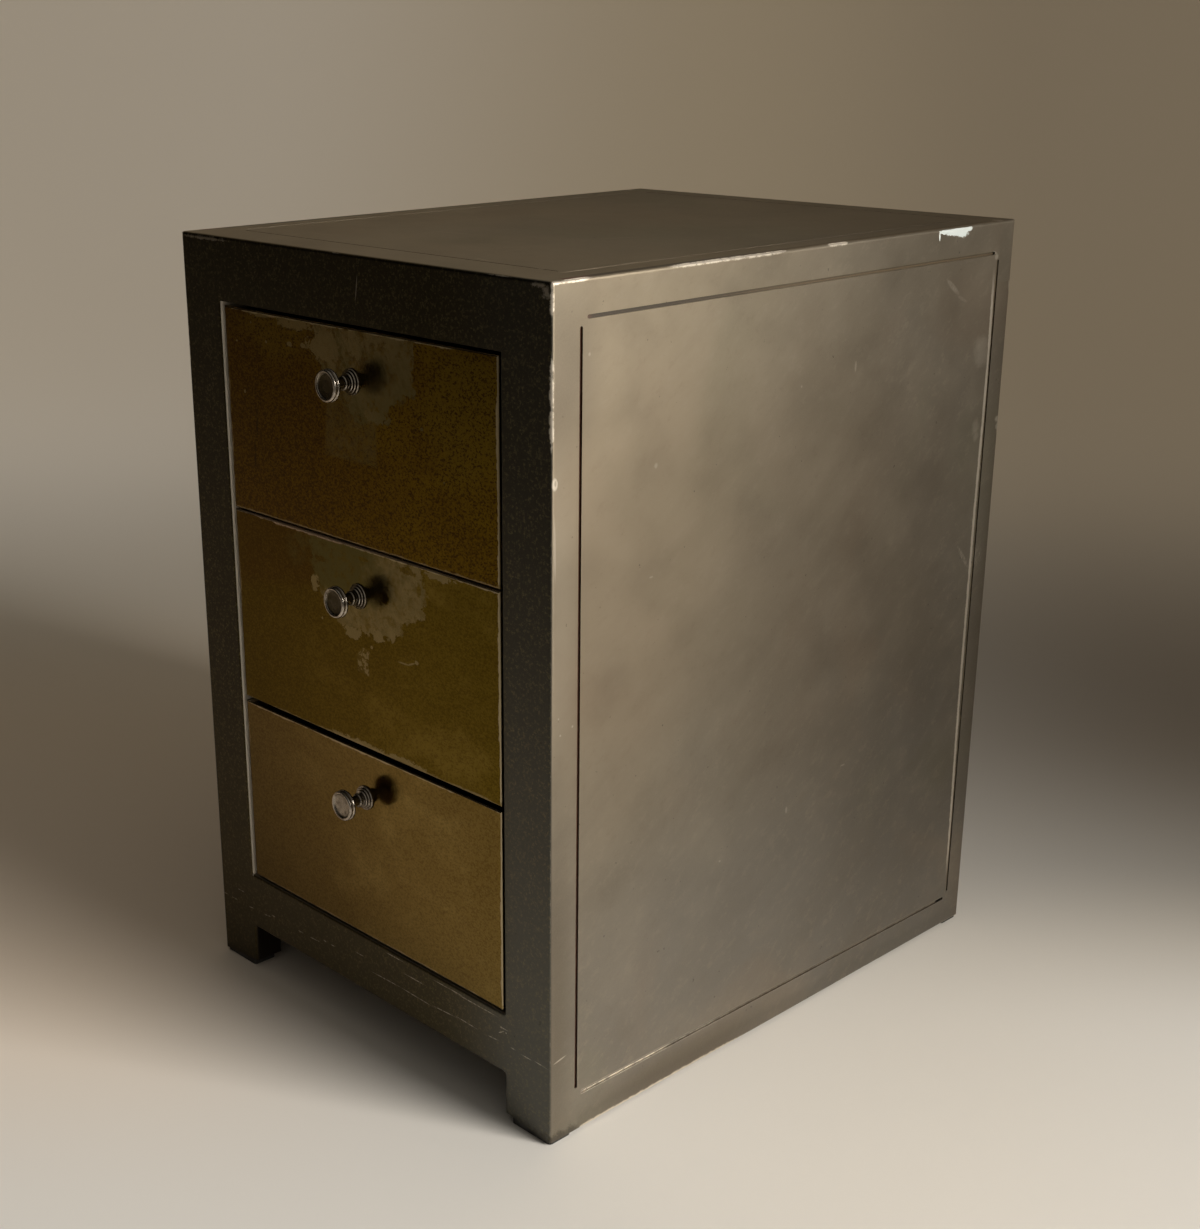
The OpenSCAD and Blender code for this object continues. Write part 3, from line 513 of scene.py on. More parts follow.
def steel(name, marks=None, chip=None, shade=None, seed=0.0):
    """Stripped and ground sheet steel under wax: cloudy and cooler low down, with painted shade low down, to
    the rear and over the front faces.
    """
    look = Look(name)
    drift = (seed, seed * 0.7, seed * 0.3)
    clouds = look.noise(3.0, 3.0, 0.5, look.stretch((1, 1, 1), drift), 0.4)
    hue = look.noise(5.0, 3.0, 0.5, look.stretch((1, 1, 0.8), (seed + 2.0, seed, seed * 0.5)), 0.5)
    blotch = look.noise(13.0, 4.0, 0.55, look.stretch((1, 1, 1.3), drift), 0.2)
    slant = (math.radians(35), 0, 0)
    grain = look.noise(700.0, 2.0, 0.6)
    brushed = look.noise(60.0, 4.0, 0.65, look.stretch((3, 3, 16), drift))
    wiped = look.noise(9.0, 6.0, 0.62, look.streaked(slant, (1.0, 2.6, 0.5)))
    flecks = look.noise(85.0, 5.0, 0.8, look.streaked(slant, (1.0, 1.5, 0.8)))
    ragged = look.noise(150.0, 4.0, 0.7)

    # Painted shade: darker low down and towards the rear, broken up by the clouds.
    low_down = look.ease(look.z, 0.50, 0.02)
    to_rear = look.ease(look.y, FRONT_Y + 0.06, REAR_Y - 0.10)
    shade_and_clouds = look.add(look.mul(low_down, 0.45), look.mul(to_rear, 0.60))
    shade_and_clouds = look.add(shade_and_clouds, look.mul(look.sub(clouds, 0.5), 1.1))
    colour = look.blend(look.ease(shade_and_clouds, 0.0, 1.0), STEEL_CLEAN, STEEL_SHADED)
    colour = look.blend(look.mul(low_down, 0.5), colour, STEEL_COOL)
    colour = look.blend(look.ease(hue, 0.52, 0.68, 0.0, 0.42), colour, STEEL_WARM)
    colour = look.blend(look.ease(hue, 0.48, 0.32, 0.0, 0.38), colour, STEEL_GREEN)
    colour = look.blend(look.ease(blotch, 0.47, 0.76, 0.0, 0.28), colour, STEEL_PALE)
    colour = look.blend(look.ease(blotch, 0.50, 0.26, 0.0, 0.22), colour, STEEL_DULL_AND_SHADE)
    colour = look.blend(look.ease(wiped, 0.44, 0.70, 0.0, 0.22), colour, STEEL_DULL_AND_SHADE)
    colour = look.blend(look.ease(flecks, 0.53, 0.70, 0.0, 0.24), colour, STEEL_BROWN)
    colour = look.blend(look.ease(flecks, 0.49, 0.32, 0.0, 0.34), colour, STEEL_PALE)

    if shade:
        colour = shade(look, colour, clouds)

    colour = look.blend(look.ease(grain, 0.35, 0.75, 0.0, 0.12), colour, STEEL_PALE)
    # Painted shade on the front faces: a darker warm tint to the left and a cool one to the right, then a
    # deep shade, stronger higher up.
    on_front = look.ease(look.face_y, -0.30, -0.85)
    left = look.ease(look.z, -0.05, 0.33, 0.80, 0.945)
    right = look.ease(look.z, 0.0, 0.60, 0.65, 0.912)
    across = look.ease(look.x, 0.08, 0.20)
    front_shade = look.mul(on_front, look.blend_value(across, left, right))
    colour = look.blend(look.mul(on_front, 0.9), colour, look.blend(across, FRONT_SHADE_WARM, FRONT_SHADE_COOL))
    colour = look.blend(front_shade, colour, FRONT_DEEP_SHADE)
    speckle = look.ease(look.noise(420.0, 4.0, 0.75), 0.50, 0.68, 0.0, 0.27)
    colour = look.blend(look.mul(on_front, speckle), colour, OLIVE_FILM)
    in_slots, dirt = seams(look)
    colour = look.blend(look.mul(in_slots, 0.95), colour, dirt)
    # Painted shade on the legs near the floor and inside them.
    colour = look.blend(shade_near_floor(look, ragged), colour, GRIME_AND_SHADE)

    # Painted highlight on the left side of the drawers' opening.
    lit_reveal = look.mul(look.ease(look.face_x, 0.6, 0.9), look.near(look.x, -REVEAL_X, 3 * MM, 1 * MM))
    lit_reveal = look.mul(lit_reveal, look.ease(look.z, z_at(90), z_at(94), 0.0, 0.9))
    # Bare metal at worn edges and marks, with painted highlights by the slots and on the opening's left side.
    wear_and_highlights = look.high(case_edges(look), slot_glints(look, ragged), top_marks(look, ragged), lit_reveal)
    if marks:
        wear_and_highlights = look.high(wear_and_highlights, marks(look, ragged))
    colour = look.blend(wear_and_highlights, colour, STEEL_BARE_AND_HIGHLIGHT)

    dots = look.ease(look.noise(230.0, 2.0, 0.5), 0.745, 0.78, 0.0, 0.45)
    colour = look.blend(dots, colour, GRIME_AND_SHADE)

    roughness = look.add(look.mul(clouds, 0.4), look.add(look.mul(blotch, 0.3), look.mul(wiped, 0.3)))
    roughness = look.ease(roughness, 0.35, 0.65, 0.35, 0.41)
    metallic = look.sub(0.94, look.high(lit_reveal, look.mul(in_slots, 0.9)))
    height = look.add(look.mul(brushed, 0.35), look.add(look.mul(grain, 0.12), look.mul(blotch, 0.25)))
    if chip:
        paint = chip(look)
        colour = look.blend(paint, colour, PAINT)
        roughness = look.add(roughness, look.mul(paint, 0.15))
        metallic = look.mul(metallic, look.sub(1.0, paint))
        height = look.add(height, look.mul(paint, 2.0))
    return look.finish(colour, roughness, metallic, look.bump(height, 0.0002, 0.55))


BARE_DIM = (0.088, 0.074, 0.024)
BARE_PALE = (0.212, 0.163, 0.074)
# Dark specks, and a painted shadow line by the left edge.
BRASS_SPECK_AND_SHADE = (0.036, 0.016, 0.001)
BRASS_EDGE_TINT = {1: (1.0, 0.95, 0.80), 2: (1.0, 0.93, 0.72), 3: (1.0, 1.0, 0.98)}
BRASS_RUST = (0.070, 0.031, 0.002)
BRASS_CLEAN = (0.150, 0.102, 0.010)
BRASS_SCRATCH = (0.010, 0.006, 0.003)
BRASS_WEDGE = (0.052, 0.023, 0.002)
CHIPPED = (0.420, 0.350, 0.230)
# A painted highlight on a rubbed top edge.
LIP = (0.330, 0.225, 0.150)


def brass(number, tones, speckled, worn, marks, lip, seed):
    """Aged brass plate, worn through to grey steel in ragged patches and chipped along its edges."""
    dark, mid, gold = tones
    low, high = span(f"drawer_{number}_front")
    look = Look(f"brass_{number}")
    drift = (seed, 0.0, seed * 0.6)
    clouds = look.noise(4.0, 4.0, 0.55, look.stretch((1, 1, 1), drift), 0.6)
    streaks = look.noise(12.0, 5.0, 0.6, look.stretch((1, 1, 1.7), drift, (0, 0.5, 0)), 0.3)
    grain = look.noise(560.0, 2.0, 0.6)
    fine = look.noise(130.0, 5.0, 0.7)

    to_right = look.add(look.x, look.mul(look.sub(clouds, 0.5), 0.12))
    to_right = look.ease(to_right, x_at(60), x_at(330))
    colour = look.blend(look.mul(look.ease(clouds, 0.30, 0.64, 0.4, 1.0), to_right), dark, mid)
    colour = look.blend(look.mul(look.ease(streaks, 0.46, 0.72, 0.0, 0.7), to_right), colour, gold)
    colour = look.blend(look.ease(grain, 0.35, 0.75, 0.0, 0.14), colour, gold)
    colour = look.blend(look.ease(fine, 0.46, 0.70, 0.0, 0.25), colour, dark)
    if marks:
        colour = marks(look, colour)
    mottle = look.noise(430.0, 4.0, 0.75, look.stretch((1, 1, 1.3), drift))
    colour = look.blend(look.ease(mottle, 0.49, 0.60, 0.0, speckled * 0.5), colour, gold)
    colour = look.blend(look.ease(mottle, 0.50, 0.40, 0.0, speckled), colour, BRASS_SPECK_AND_SHADE)

    roughness = look.ease(clouds, 0.3, 0.7, 0.10, 0.17)
    height = look.add(look.mul(grain, 0.2), look.mul(streaks, 0.6))
    if worn:
        bare, pale = worn(look, fine)
        bare_colour = look.blend(pale, BARE_DIM, BARE_PALE)
        colour = look.blend(bare, colour, bare_colour)
        roughness = look.add(roughness, look.mul(bare, 0.12))
        height = look.sub(height, bare)

    rim = look.low(look.sub(look.x, low.x), look.sub(high.x, look.x),
                   look.sub(look.z, low.z), look.sub(high.z, look.z))
    rim = look.sub(rim, 0.8 * MM)
    patchy = look.noise(14.0, 3.0, 0.6, look.stretch((1, 1, 1), drift))
    patchy = look.add(look.mul(patchy, 0.6), look.mul(fine, 0.4))
    width = look.ease(patchy, 0.40, 0.64, 0.5 * MM, 3.0 * MM)
    chips = look.ease(rim, width, look.mul(width, 0.4), 0.0, 0.75)
    chips = look.mul(chips, look.ease(look.sub(look.z, low.z), 3 * MM, 5 * MM, 0.4, 1.0))
    colour = look.blend(chips, colour, CHIPPED)
    # Painted shadow: a dark line just inside the front's left edge.
    shade_by_left = look.ease(look.sub(look.x, low.x), 2.6 * MM, 1.4 * MM, 0.0, 0.85)
    colour = look.blend(shade_by_left, colour, BRASS_SPECK_AND_SHADE)
    look.put(look.shader.inputs["Specular Tint"], BRASS_EDGE_TINT[number])
    metallic = 1.0
    # A painted highlight along the top edge, on a rubbed edge, made less metallic to read as lit.
    if lip:
        lip_wear_and_sheen = lip(look, high.z, fine)
        colour = look.blend(lip_wear_and_sheen, colour, LIP)
        metallic = look.sub(1.0, look.mul(lip_wear_and_sheen, 0.7))
    return look.finish(colour, roughness, metallic, look.bump(height, 0.00006, 0.4))


def worn_1(look, fine):
    """The top drawer's bare patch, round and above its knob, with a faint square ghost below."""
    ragged = look.noise(55.0, 8.0, 0.72)
    corners = [(180, 646), (186, 612), (214, 584), (238, 562), (272, 574), (306, 600), (314, 646)]
    torn_rim = look.add(look.mul(ragged, 0.6), look.mul(fine, 0.4))
    main = look.inside([place(*c) for c in corners], torn_rim, 50 * MM)
    main = look.mul(main, look.ease(look.noise(110.0, 5.0, 0.75), 0.38, 0.50, 0.30, 1.0))
    island = look.patch("front", ovals_at(place, [(194, 631, 8, 2.2), (226, 641, 14, 1.6)]), fine, 2.4)
    main = look.mul(main, look.sub(1.0, look.mul(island, 0.85)))
    torn = [(298, 600, 15, 5), (262, 574, 16, 5), (196, 622, 18, 12)]
    torn = look.patch("front", ovals_at(place, torn), fine, 3.2)
    strip = look.patch("front", ovals_at(place, [(158, 637, 24, 4.5), (110, 639, 20, 2)]), fine, 3.6)
    spots = look.patch("front", ovals_at(place, [
        (150, 619, 3.6, 2.4), (168, 620, 3.2, 2.2), (173, 623, 1.6, 1.2), (117, 617, 1.6, 1.4),
        (74, 613, 1.6, 1.2), (82, 570, 1.6, 1.6), (318, 573, 2.0, 1.6), (343, 535, 1.0, 1.0),
        (96, 631, 1.0, 1.0)]), fine, 1.4)
    ghost = [place(*c) for c in ((198, 580), (193, 533), (261, 533), (262, 580))]
    ghost = look.inside(ghost, fine, 5 * MM, 2 * MM)
    ghost = look.mul(ghost, look.ease(fine, 0.36, 0.60, 0.35, 1.0))
    pale = look.noise(60.0, 7.0, 0.78, look.streaked((0, math.radians(-35), 0), (0.8, 1.0, 2.4)))
    pale = look.ease(pale, 0.32, 0.56)
    pale = look.mul(pale, look.ease(look.z, z_at(575), z_at(632), 0.45, 1.0))
    pale = look.mul(pale, look.ease(look.x, x_at(318), x_at(215), 0.50, 1.0))
    to_left = look.ease(look.x, x_at(285), x_at(215), 0.25, 0.9)
    pale = look.high(pale, look.mul(look.high(torn, strip, spots), to_left))
    shown = look.high(look.mul(look.high(main, torn), look.ease(fine, 0.34, 0.52, 0.62, 0.94)),
                      look.mul(strip, 0.8), look.mul(spots, 0.9), look.mul(ghost, 0.42))
    return shown, pale


def worn_2(look, fine):
    """The middle drawer's bare patch, ragged below, with brown islands and a few loose flecks."""
    ragged = look.noise(70.0, 8.0, 0.74, look.stretch((1, 1, 1), (5, 0, 5)))
    torn_rim = look.add(look.mul(ragged, 0.6), look.mul(fine, 0.4))
    left = [(163, 470), (169, 428), (184, 403), (210, 387), (258, 387), (284, 398), (292, 470)]
    right = [(262, 470), (272, 404), (298, 409), (324, 421), (319, 440), (322, 470)]
    main = look.high(*[look.inside([place(*c) for c in part], torn_rim, 46 * MM) for part in (left, right)])
    main = look.mul(main, look.ease(look.noise(110.0, 5.0, 0.75), 0.38, 0.48, 0.40, 1.0))
    islands = look.patch("front", ovals_at(place, [
        (181, 440, 9, 2.4), (297, 454, 9, 3.4), (266, 425, 5, 6), (310, 440, 3, 6),
        (240, 452, 8, 1.6)]), fine, 2.8)
    torn = look.patch("front", ovals_at(place, [
        (221, 384, 11, 5), (257, 388, 8, 5), (171, 417, 5, 7), (275, 394, 4, 5),
        (335, 457, 16, 3)]), fine, 3.6)
    blob = look.patch("front", ovals_at(place, [(146, 441, 12, 13), (156, 452, 14, 8)]), torn_rim, 4.0, 0.5)
    blob = look.mul(blob, look.ease(fine, 0.38, 0.55, 0.05, 0.40))
    plate = [place(*c) for c in ((228, 368), (227, 351), (242, 350), (243, 372), (236, 374))]
    plate = look.inside(plate, fine, 14 * MM)
    hole = look.mul(look.ease(look.noise(260.0, 3.0, 0.6), 0.53, 0.47), 0.9)
    flecks = [((280, 373), (297, 373.5)), ((293, 373), (304, 377.5))]
    spots = [(305, 378, 2.2, 1.8), (180, 387, 1.4, 1.4), (247, 377, 1.6, 1.6)]
    flecks = look.high(look.strokes("front", lines_at(place, 1.0, flecks)),
                       look.patch("front", ovals_at(place, spots), fine, 1.6))
    edge = look.patch("front", ovals_at(place, [(228, 284, 34, 3.4), (286, 284, 30, 3.6)]), fine, 4.4)
    to_right = look.add(look.x, look.mul(look.sub(ragged, 0.5), 0.10))
    to_right = look.ease(to_right, x_at(240), x_at(284))
    below = look.add(look.z, look.mul(look.sub(ragged, 0.5), 0.05))
    below = look.ease(below, z_at(420), z_at(408))
    loose = look.high(torn, look.mul(plate, look.sub(1.0, hole)), flecks, edge)
    pale = look.ease(look.noise(75.0, 7.0, 0.78), 0.32, 0.60, 0.35, 1.0)
    pale = look.mul(look.high(to_right, below), pale)
    bare = look.mul(main, look.sub(1.0, look.mul(islands, 0.8)))
    bare = look.mul(bare, look.ease(fine, 0.34, 0.54, 0.60, 0.93))
    return look.high(bare, blob, loose), look.high(pale, look.mul(loose, 0.9))


def marks_1(look, colour):
    """The top drawer's rusty left half, two cleaner areas and an upright dark scratch."""
    rust = look.ease(look.noise(8.0, 4.0, 0.6), 0.3, 0.7)
    rust = look.mul(look.ease(look.x, x_at(300), x_at(90)), rust)
    colour = look.blend(look.mul(rust, 0.65), colour, BRASS_RUST)
    clean = ovals_at(place, [(134, 624, 52, 22), (375, 590, 60, 50)])
    clean = look.patch("front", clean, look.noise(20.0, 5.0, 0.6), 1.6, 0.4)
    colour = look.blend(look.mul(clean, 0.5), colour, BRASS_CLEAN)
    scratch = look.strokes("front", lines_at(place, 1.6, [((99, 562), (97, 530)), ((95, 536), (91, 498))]))
    scratch = look.mul(scratch, look.ease(look.noise(150.0, 4.0, 0.7), 0.38, 0.52, 0.40, 1.0))
    return look.blend(look.mul(scratch, 0.95), colour, BRASS_SCRATCH)


def marks_2(look, colour):
    """The middle drawer's dark wedge in its upper left corner."""
    rise = look.mul(look.sub(look.x, x_at(60)), 0.22)
    slope = look.sub(look.z, look.add(z_at(388), rise))
    edge = look.add(slope, look.mul(look.sub(look.noise(30.0, 4.0, 0.6), 0.5), 0.02))
    wedge = look.mul(look.ease(edge, -0.003, 0.014), look.ease(look.x, x_at(215), x_at(150)))
    return look.blend(look.mul(wedge, 0.7), colour, BRASS_WEDGE)


def lip_2(look, top_z, fine):
    """The middle drawer's top edge, rubbed bare and given a painted highlight: a thin line, thicker to the
    left of its knob.
    """
    thick = look.near(look.x, x_at(163), 42 * MM, 14 * MM)
    width = look.mul(look.add(look.mul(thick, 1.7 * MM), 0.8 * MM), look.ease(fine, 0.35, 0.6, 0.7, 1.15))
    down = look.sub(look.sub(top_z, look.z), 0.6 * MM)
    shown = look.mul(look.ease(look.x, x_at(50), x_at(90), 0.3, 1.0),
                     look.ease(look.x, x_at(400), x_at(215), 0.35, 1.0))
    return look.mul(look.ease(down, width, look.mul(width, 0.6)), look.mul(shown, 0.9))


NICKEL = (0.360, 0.315, 0.260)
NICKEL_DULL = (0.190, 0.155, 0.118)
# Dirt in the recesses, and painted shade on the upper sides.
NICKEL_DIRT_AND_SHADE = (0.075, 0.058, 0.040)
# Painted highlight on the rims.
NICKEL_RIM_HIGHLIGHT = (0.560, 0.500, 0.430)
# The face's painted dark reflection, and how much each knob takes.
NICKEL_FACE = (0.030, 0.020, 0.003)
KNOB_FACE_DARK_REFLECTION = {1: 0.95, 2: 0.92, 3: 0.25}


def small_part(name, base, dark, roughness, scale, metallic=0.95):
    """A small part's finish: two tones, a fine grain and a soft bump."""
    look = Look(name)
    patch = look.noise(scale, 4.0, 0.6)
    grain = look.noise(scale * 14, 2.0, 0.6)
    colour = look.blend(look.ease(patch, 0.4, 0.68), base, dark)
    rough = look.ease(grain, 0.3, 0.7, roughness - 0.06, roughness + 0.08)
    return look.finish(colour, rough, metallic, look.bump(look.add(patch, grain), 0.0001, 0.4))


def knob_metal(number):
    """Worn nickel plating on a knob and its plate: a painted highlight on the rims, dirty in the recesses,
    with painted shade on the upper sides and a painted dark reflection on the face.
    """
    look = Look(f"nickel_{number}")
    low, high = span(f"knob_{number}")
    centre = ((low.x + high.x) / 2, (low.z + high.z) / 2)
    radius = (high.x - low.x) / 2
    out = look.ellipse("front", centre, (radius, radius))
    patch = look.noise(160.0, 4.0, 0.6)
    fine = look.noise(900.0, 2.0, 0.6)
    face = look.mul(look.ease(look.face_y, -0.6, -0.9), look.ease(out, 0.84, 0.78))
    recess = look.ease(look.math("ABSOLUTE", look.face_y), 0.55, 0.25)
    colour = look.blend(look.ease(patch, 0.42, 0.68), NICKEL, NICKEL_DULL)
    colour = look.blend(look.mul(recess, 0.72), colour, NICKEL_DIRT_AND_SHADE)
    # Painted dark reflection on the head's face, faint on the third knob.
    colour = look.blend(look.mul(face, KNOB_FACE_DARK_REFLECTION[number]), colour, NICKEL_FACE)
    # Painted shade on the upper sides.
    above = look.mul(look.ease(look.face_z, 0.15, 0.6), look.ease(out, 0.80, 0.84))
    colour = look.blend(look.mul(above, 0.6), colour, NICKEL_DIRT_AND_SHADE)
    # Painted highlight on the rim.
    rim = look.mul(look.near(out, 0.93, 0.05, 0.05), look.ease(patch, 0.3, 0.6, 0.8, 0.3))
    colour = look.blend(rim, colour, NICKEL_RIM_HIGHLIGHT)
    roughness = look.ease(patch, 0.3, 0.7, 0.14, 0.26)
    roughness = look.add(roughness, look.mul(face, 0.10))
    return look.finish(colour, roughness, 1.0, look.bump(look.add(patch, fine), 0.00004, 0.4))


INNER_PALE = (0.215, 0.195, 0.160)
INNER_DARK = (0.150, 0.131, 0.104)
INNER_RUBBED = (0.300, 0.278, 0.235)
INNER_RUST = (0.085, 0.050, 0.028)


def inner_steel():
    """Dull sheet inside the case: clouded, rubbed along the drawers' travel, with small rust spots."""
    look = Look("inner_steel")
    clouds = look.noise(6.0, 4.0, 0.55, distort=0.4)
    lip_wear_and_sheen = look.noise(40.0, 4.0, 0.65, look.stretch((4, 0.5, 4)))
    grain = look.noise(500.0, 2.0, 0.6)
    colour = look.blend(look.ease(clouds, 0.35, 0.68), INNER_PALE, INNER_DARK)
    colour = look.blend(look.ease(lip_wear_and_sheen, 0.55, 0.75, 0.0, 0.40), colour, INNER_RUBBED)
    colour = look.blend(look.ease(look.noise(60.0, 3.0, 0.6), 0.68, 0.76, 0.0, 0.5), colour, INNER_RUST)
    roughness = look.ease(clouds, 0.3, 0.7, 0.42, 0.56)
    height = look.add(look.mul(lip_wear_and_sheen, 0.5), grain)
    return look.finish(colour, roughness, 0.85, look.bump(height, 0.0001, 0.4))


STEEL = steel("steel", seed=5.3)
STEEL_FRONT = steel("steel_front", front_marks, None, side_tones, 0.0)
STEEL_SIDE = steel("steel_side", side_marks, paint_chip, side_tones, 0.0)
INNER = inner_steel()
ZINC = small_part("zinc", (0.46, 0.45, 0.43), (0.30, 0.29, 0.27), 0.36, 60.0)
KNOB_LOOKS = {number: knob_metal(number) for number in (1, 2, 3)}
FOOT = small_part("foot_iron", (0.045, 0.042, 0.038), (0.02, 0.018, 0.016), 0.7, 80.0, 0.0)
RUBBER = small_part("rubber", (0.02, 0.02, 0.02), (0.035, 0.033, 0.03), 0.8, 120.0, 0.0)

BROWN_TONES = ((0.056, 0.027, 0.001), (0.092, 0.049, 0.002), (0.140, 0.086, 0.004))
OLIVE_TONES = ((0.058, 0.034, 0.001), (0.100, 0.066, 0.005), (0.166, 0.114, 0.020))
GOLD_TONES = ((0.098, 0.058, 0.006), (0.160, 0.104, 0.022), (0.245, 0.176, 0.052))
BRASS_LOOKS = {
    1: brass(1, BROWN_TONES, 1.00, worn_1, marks_1, None, 1.3),
    2: brass(2, OLIVE_TONES, 0.44, worn_2, marks_2, lip_2, 4.9),
    3: brass(3, GOLD_TONES, 0.34, None, None, None, 9.4),
}


def look_of(node):
    """The material of a CAD node."""
    if node.startswith("drawer_"):
        number = int(node.split("_")[1])
        if node == f"drawer_{number}_front":
            return BRASS_LOOKS[number]
        return ZINC if "slide" in node else INNER
    if node.startswith("knob_screw") or node.startswith(("runner", "stop_pins")):
        return ZINC
    if node.startswith("knob"):
        return KNOB_LOOKS[int(node[-1])]
    if node.startswith("foot"):
        return FOOT
    if node == "rubber_buffers":
        return RUBBER
    if node == "bottom_panel":
        return INNER
    if node.startswith("front"):
        return STEEL_FRONT
    if node.endswith("right"):
        return STEEL_SIDE
    return STEEL


for node in NODES:
    mesh = NODES[node].data
    mesh.materials.clear()
    mesh.materials.append(look_of(node))


# ---------------------------------------------------------------- camera

PHOTO_W, PHOTO_H = 1200, 1229
# The camera fitted to the photograph's straight edges: degrees, and its focal length in pixels.
CAMERA_AZ, CAMERA_EL, CAMERA_ROLL = 47.157, 19.017, -0.350
CAMERA_FOCAL_PX = 1797.1
SENSOR_MM = 36.0
CLIP_END = 50.0
# The principal point of the photograph, which is an off-centre crop.
CENTRE_PX = (507.2, 641.7)
# Camera place from the case's front left lower corner: right, back and up.
CAMERA_FROM_CORNER = (1364.6 * MM, -880.5 * MM, 870.4 * MM)


def add_camera():
    """The photograph's camera, as an off-centre crop."""
    az, el, roll = (math.radians(v) for v in (CAMERA_AZ, CAMERA_EL, CAMERA_ROLL))
    back = Vector((math.sin(az) * math.cos(el), -math.cos(az) * math.cos(el), math.sin(el)))
    level = Vector((0, 0, 1)).cross(back).normalized()
    upright = back.cross(level)
    right = math.cos(roll) * level + math.sin(roll) * upright
    up = -math.sin(roll) * level + math.cos(roll) * upright
    data = bpy.data.cameras.new("camera")
    data.sensor_fit = "HORIZONTAL"
    data.sensor_width = SENSOR_MM
    data.lens = CAMERA_FOCAL_PX / PHOTO_W * data.sensor_width
    data.shift_x = -(CENTRE_PX[0] - PHOTO_W / 2) / PHOTO_W
    data.shift_y = (CENTRE_PX[1] - PHOTO_H / 2) / PHOTO_W
    data.clip_end = CLIP_END
    camera = bpy.data.objects.new("camera", data)
    camera.matrix_world = Matrix((
        (right.x, up.x, back.x, CAMERA_FROM_CORNER[0] - HALF_W),
        (right.y, up.y, back.y, CAMERA_FROM_CORNER[1] + FRONT_Y),
        (right.z, up.z, back.z, CAMERA_FROM_CORNER[2] + LEG_Z),
        (0, 0, 0, 1),
    ))
    bpy.context.scene.collection.objects.link(camera)
    bpy.context.scene.camera = camera


add_camera()


# ---------------------------------------------------------------- studio

FLOOR_COLOUR = (0.80, 0.765, 0.710)
FLOOR_DULL = (0.75, 0.715, 0.660)
# A warm painted shade for the floor to the left of the case.
FLOOR_WARM_SHADE = (0.88, 0.72, 0.56)
WALL_COLOUR = (0.77, 0.63, 0.44)
WALL_SHADE = (0.22, 0.140, 0.070)
# The floor's width, and the backdrop's distance, height, and rounding where it leaves the floor.
FLOOR_SIZE = 14.0
WALL_Y = 3.2
WALL_HEIGHT = 5.0
CURVE_R = 1.5
CURVE_STEPS = 12
# The backdrop's turn from square to the camera, in degrees.
WALL_TURN = -8
# The room is even all round but for its dim end, towards the cabinet's front left.
WORLD_BRIGHT = (0.80, 0.76, 0.68)
WORLD_DIM = (0.03, 0.026, 0.02)
DIM_END = (-0.72, -0.66, -0.20)
WORLD_STRENGTH = 0.30
LAMP_SPREAD = 60.0


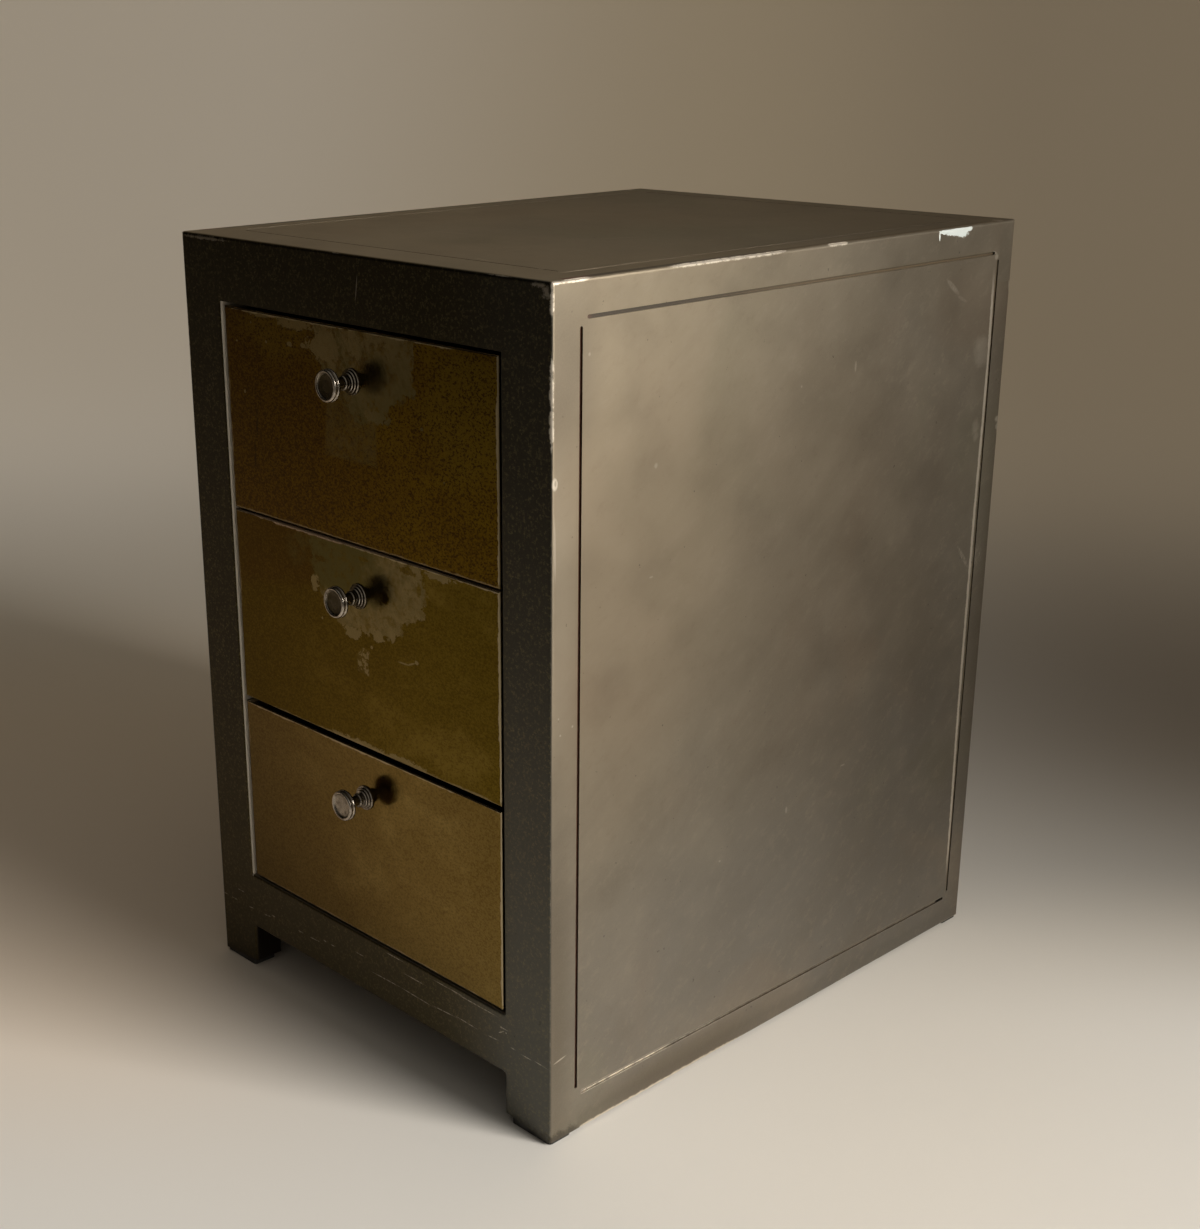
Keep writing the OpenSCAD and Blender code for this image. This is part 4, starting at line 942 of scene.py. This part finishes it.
def add_floor():
    """A pale floor that curves up into a wall behind the object, shaded as the photograph's room is."""
    half = FLOOR_SIZE / 2
    line = [(-half, 0.0), (WALL_Y - CURVE_R, 0.0)]
    for i in range(1, CURVE_STEPS + 1):
        a = math.pi / 2 * i / CURVE_STEPS
        line.append((WALL_Y - CURVE_R + CURVE_R * math.sin(a), CURVE_R * (1 - math.cos(a))))
    line.append((WALL_Y, WALL_HEIGHT))
    verts = [(x, y, z + FLOOR_Z) for y, z in line for x in (-half, half)]
    faces = [(2 * i, 2 * i + 1, 2 * i + 3, 2 * i + 2) for i in range(len(line) - 1)]
    mesh = bpy.data.meshes.new("studio_floor")
    mesh.from_pydata(verts, [], faces)
    mesh.polygons.foreach_set("use_smooth", [True] * len(faces))
    floor = bpy.data.objects.new("studio_floor", mesh)
    floor.matrix_world = Matrix.Rotation(math.radians(CAMERA_AZ + WALL_TURN), 4, "Z")
    look = Look("studio_floor")
    tone = look.noise(1.2, 3.0, 0.5)
    up_wall = look.ease(look.y, 1.3, 2.6)
    to_left = look.ease(look.x, 0.2, -1.2)
    to_right = look.ease(look.x, 0.0, 0.8)
    seen = look.node("ShaderNodeLightPath").outputs["Is Camera Ray"]
    glow = look.mul(look.ease(look.y, 0.7, 2.2), look.add(0.13, look.mul(to_left, 0.10)))
    right_share = look.mul(to_right, look.ease(look.y, 0.25, -0.15))
    near_right = look.mul(right_share, 0.37)
    look.put(look.shader.inputs["Emission Strength"], look.mul(seen, look.add(glow, near_right)))
    glow_colour = look.blend(look.high(look.mul(to_left, 0.6), right_share), WALL_COLOUR, FLOOR_COLOUR)
    look.put(look.shader.inputs["Emission Color"], glow_colour)
    colour = look.blend(up_wall, look.blend(tone, FLOOR_COLOUR, FLOOR_DULL), WALL_COLOUR)
    shaded = look.mul(look.mul(to_right, look.ease(look.y, 0.05, 0.65)), 0.60)
    colour = look.blend(shaded, colour, WALL_SHADE)
    left_mid = look.mul(look.ease(look.y, -0.55, -0.10), look.ease(look.y, 1.2, 0.4, 0.0, 0.8))
    # Painted warm shade on the floor to the left of the case.
    colour = look.blend(look.mul(look.ease(look.x, 0.0, -0.5), left_mid), colour, FLOOR_WARM_SHADE)
    left_back = look.mul(look.ease(look.y, 0.0, 0.5), look.ease(look.y, 2.2, 1.2))
    left_back = look.mul(look.ease(look.x, -0.1, -0.6), left_back)
    colour = look.blend(look.mul(left_back, 0.35), colour, WALL_COLOUR)
    mesh.materials.append(look.finish(colour, 0.6, 0.0))
    bpy.context.scene.collection.objects.link(floor)


def add_light(name, place, target, size, power, colour):
    """A square soft lamp at a place, turned to a target."""
    data = bpy.data.lights.new(name, "AREA")
    data.shape = "RECTANGLE"
    data.size = data.size_y = size
    data.energy = power
    data.color = colour
    data.spread = math.radians(LAMP_SPREAD)
    lamp = bpy.data.objects.new(name, data)
    lamp.visible_camera = False
    lamp.location = place
    lamp.rotation_euler = (Vector(target) - Vector(place)).to_track_quat("-Z", "Y").to_euler()
    bpy.context.scene.collection.objects.link(lamp)


def add_world():
    """A plain even room with one dim end."""
    world = bpy.data.worlds.new("studio")
    bpy.context.scene.world = world
    world.use_nodes = True
    tree = world.node_tree
    place = tree.nodes.new("ShaderNodeTexCoord")
    facing = tree.nodes.new("ShaderNodeVectorMath")
    facing.operation = "DOT_PRODUCT"
    facing.inputs[1].default_value = DIM_END
    tree.links.new(place.outputs["Generated"], facing.inputs[0])
    ramp = tree.nodes.new("ShaderNodeMapRange")
    ramp.interpolation_type = "SMOOTHSTEP"
    ramp.inputs["From Min"].default_value = -0.25
    ramp.inputs["From Max"].default_value = 0.65
    tree.links.new(facing.outputs["Value"], ramp.inputs["Value"])
    mix = tree.nodes.new("ShaderNodeMix")
    mix.data_type = "RGBA"
    mix.inputs[6].default_value = (*WORLD_BRIGHT, 1.0)
    mix.inputs[7].default_value = (*WORLD_DIM, 1.0)
    tree.links.new(ramp.outputs["Result"], mix.inputs["Factor"])
    background = tree.nodes["Background"]
    tree.links.new(mix.outputs[2], background.inputs["Color"])
    background.inputs["Strength"].default_value = WORLD_STRENGTH


add_floor()
add_world()
add_light("key", (2.30, 0.28, 1.50), (0.25, -0.62, 0.62), 1.1, 15.5, (1.0, 0.965, 0.915))
add_light("low_window", (2.6, 0.9, 0.5), (0.2, -0.1, 0.50), 1.0, 1.4, (1.0, 0.95, 0.86))

bpy.context.scene.view_settings.view_transform = "Standard"
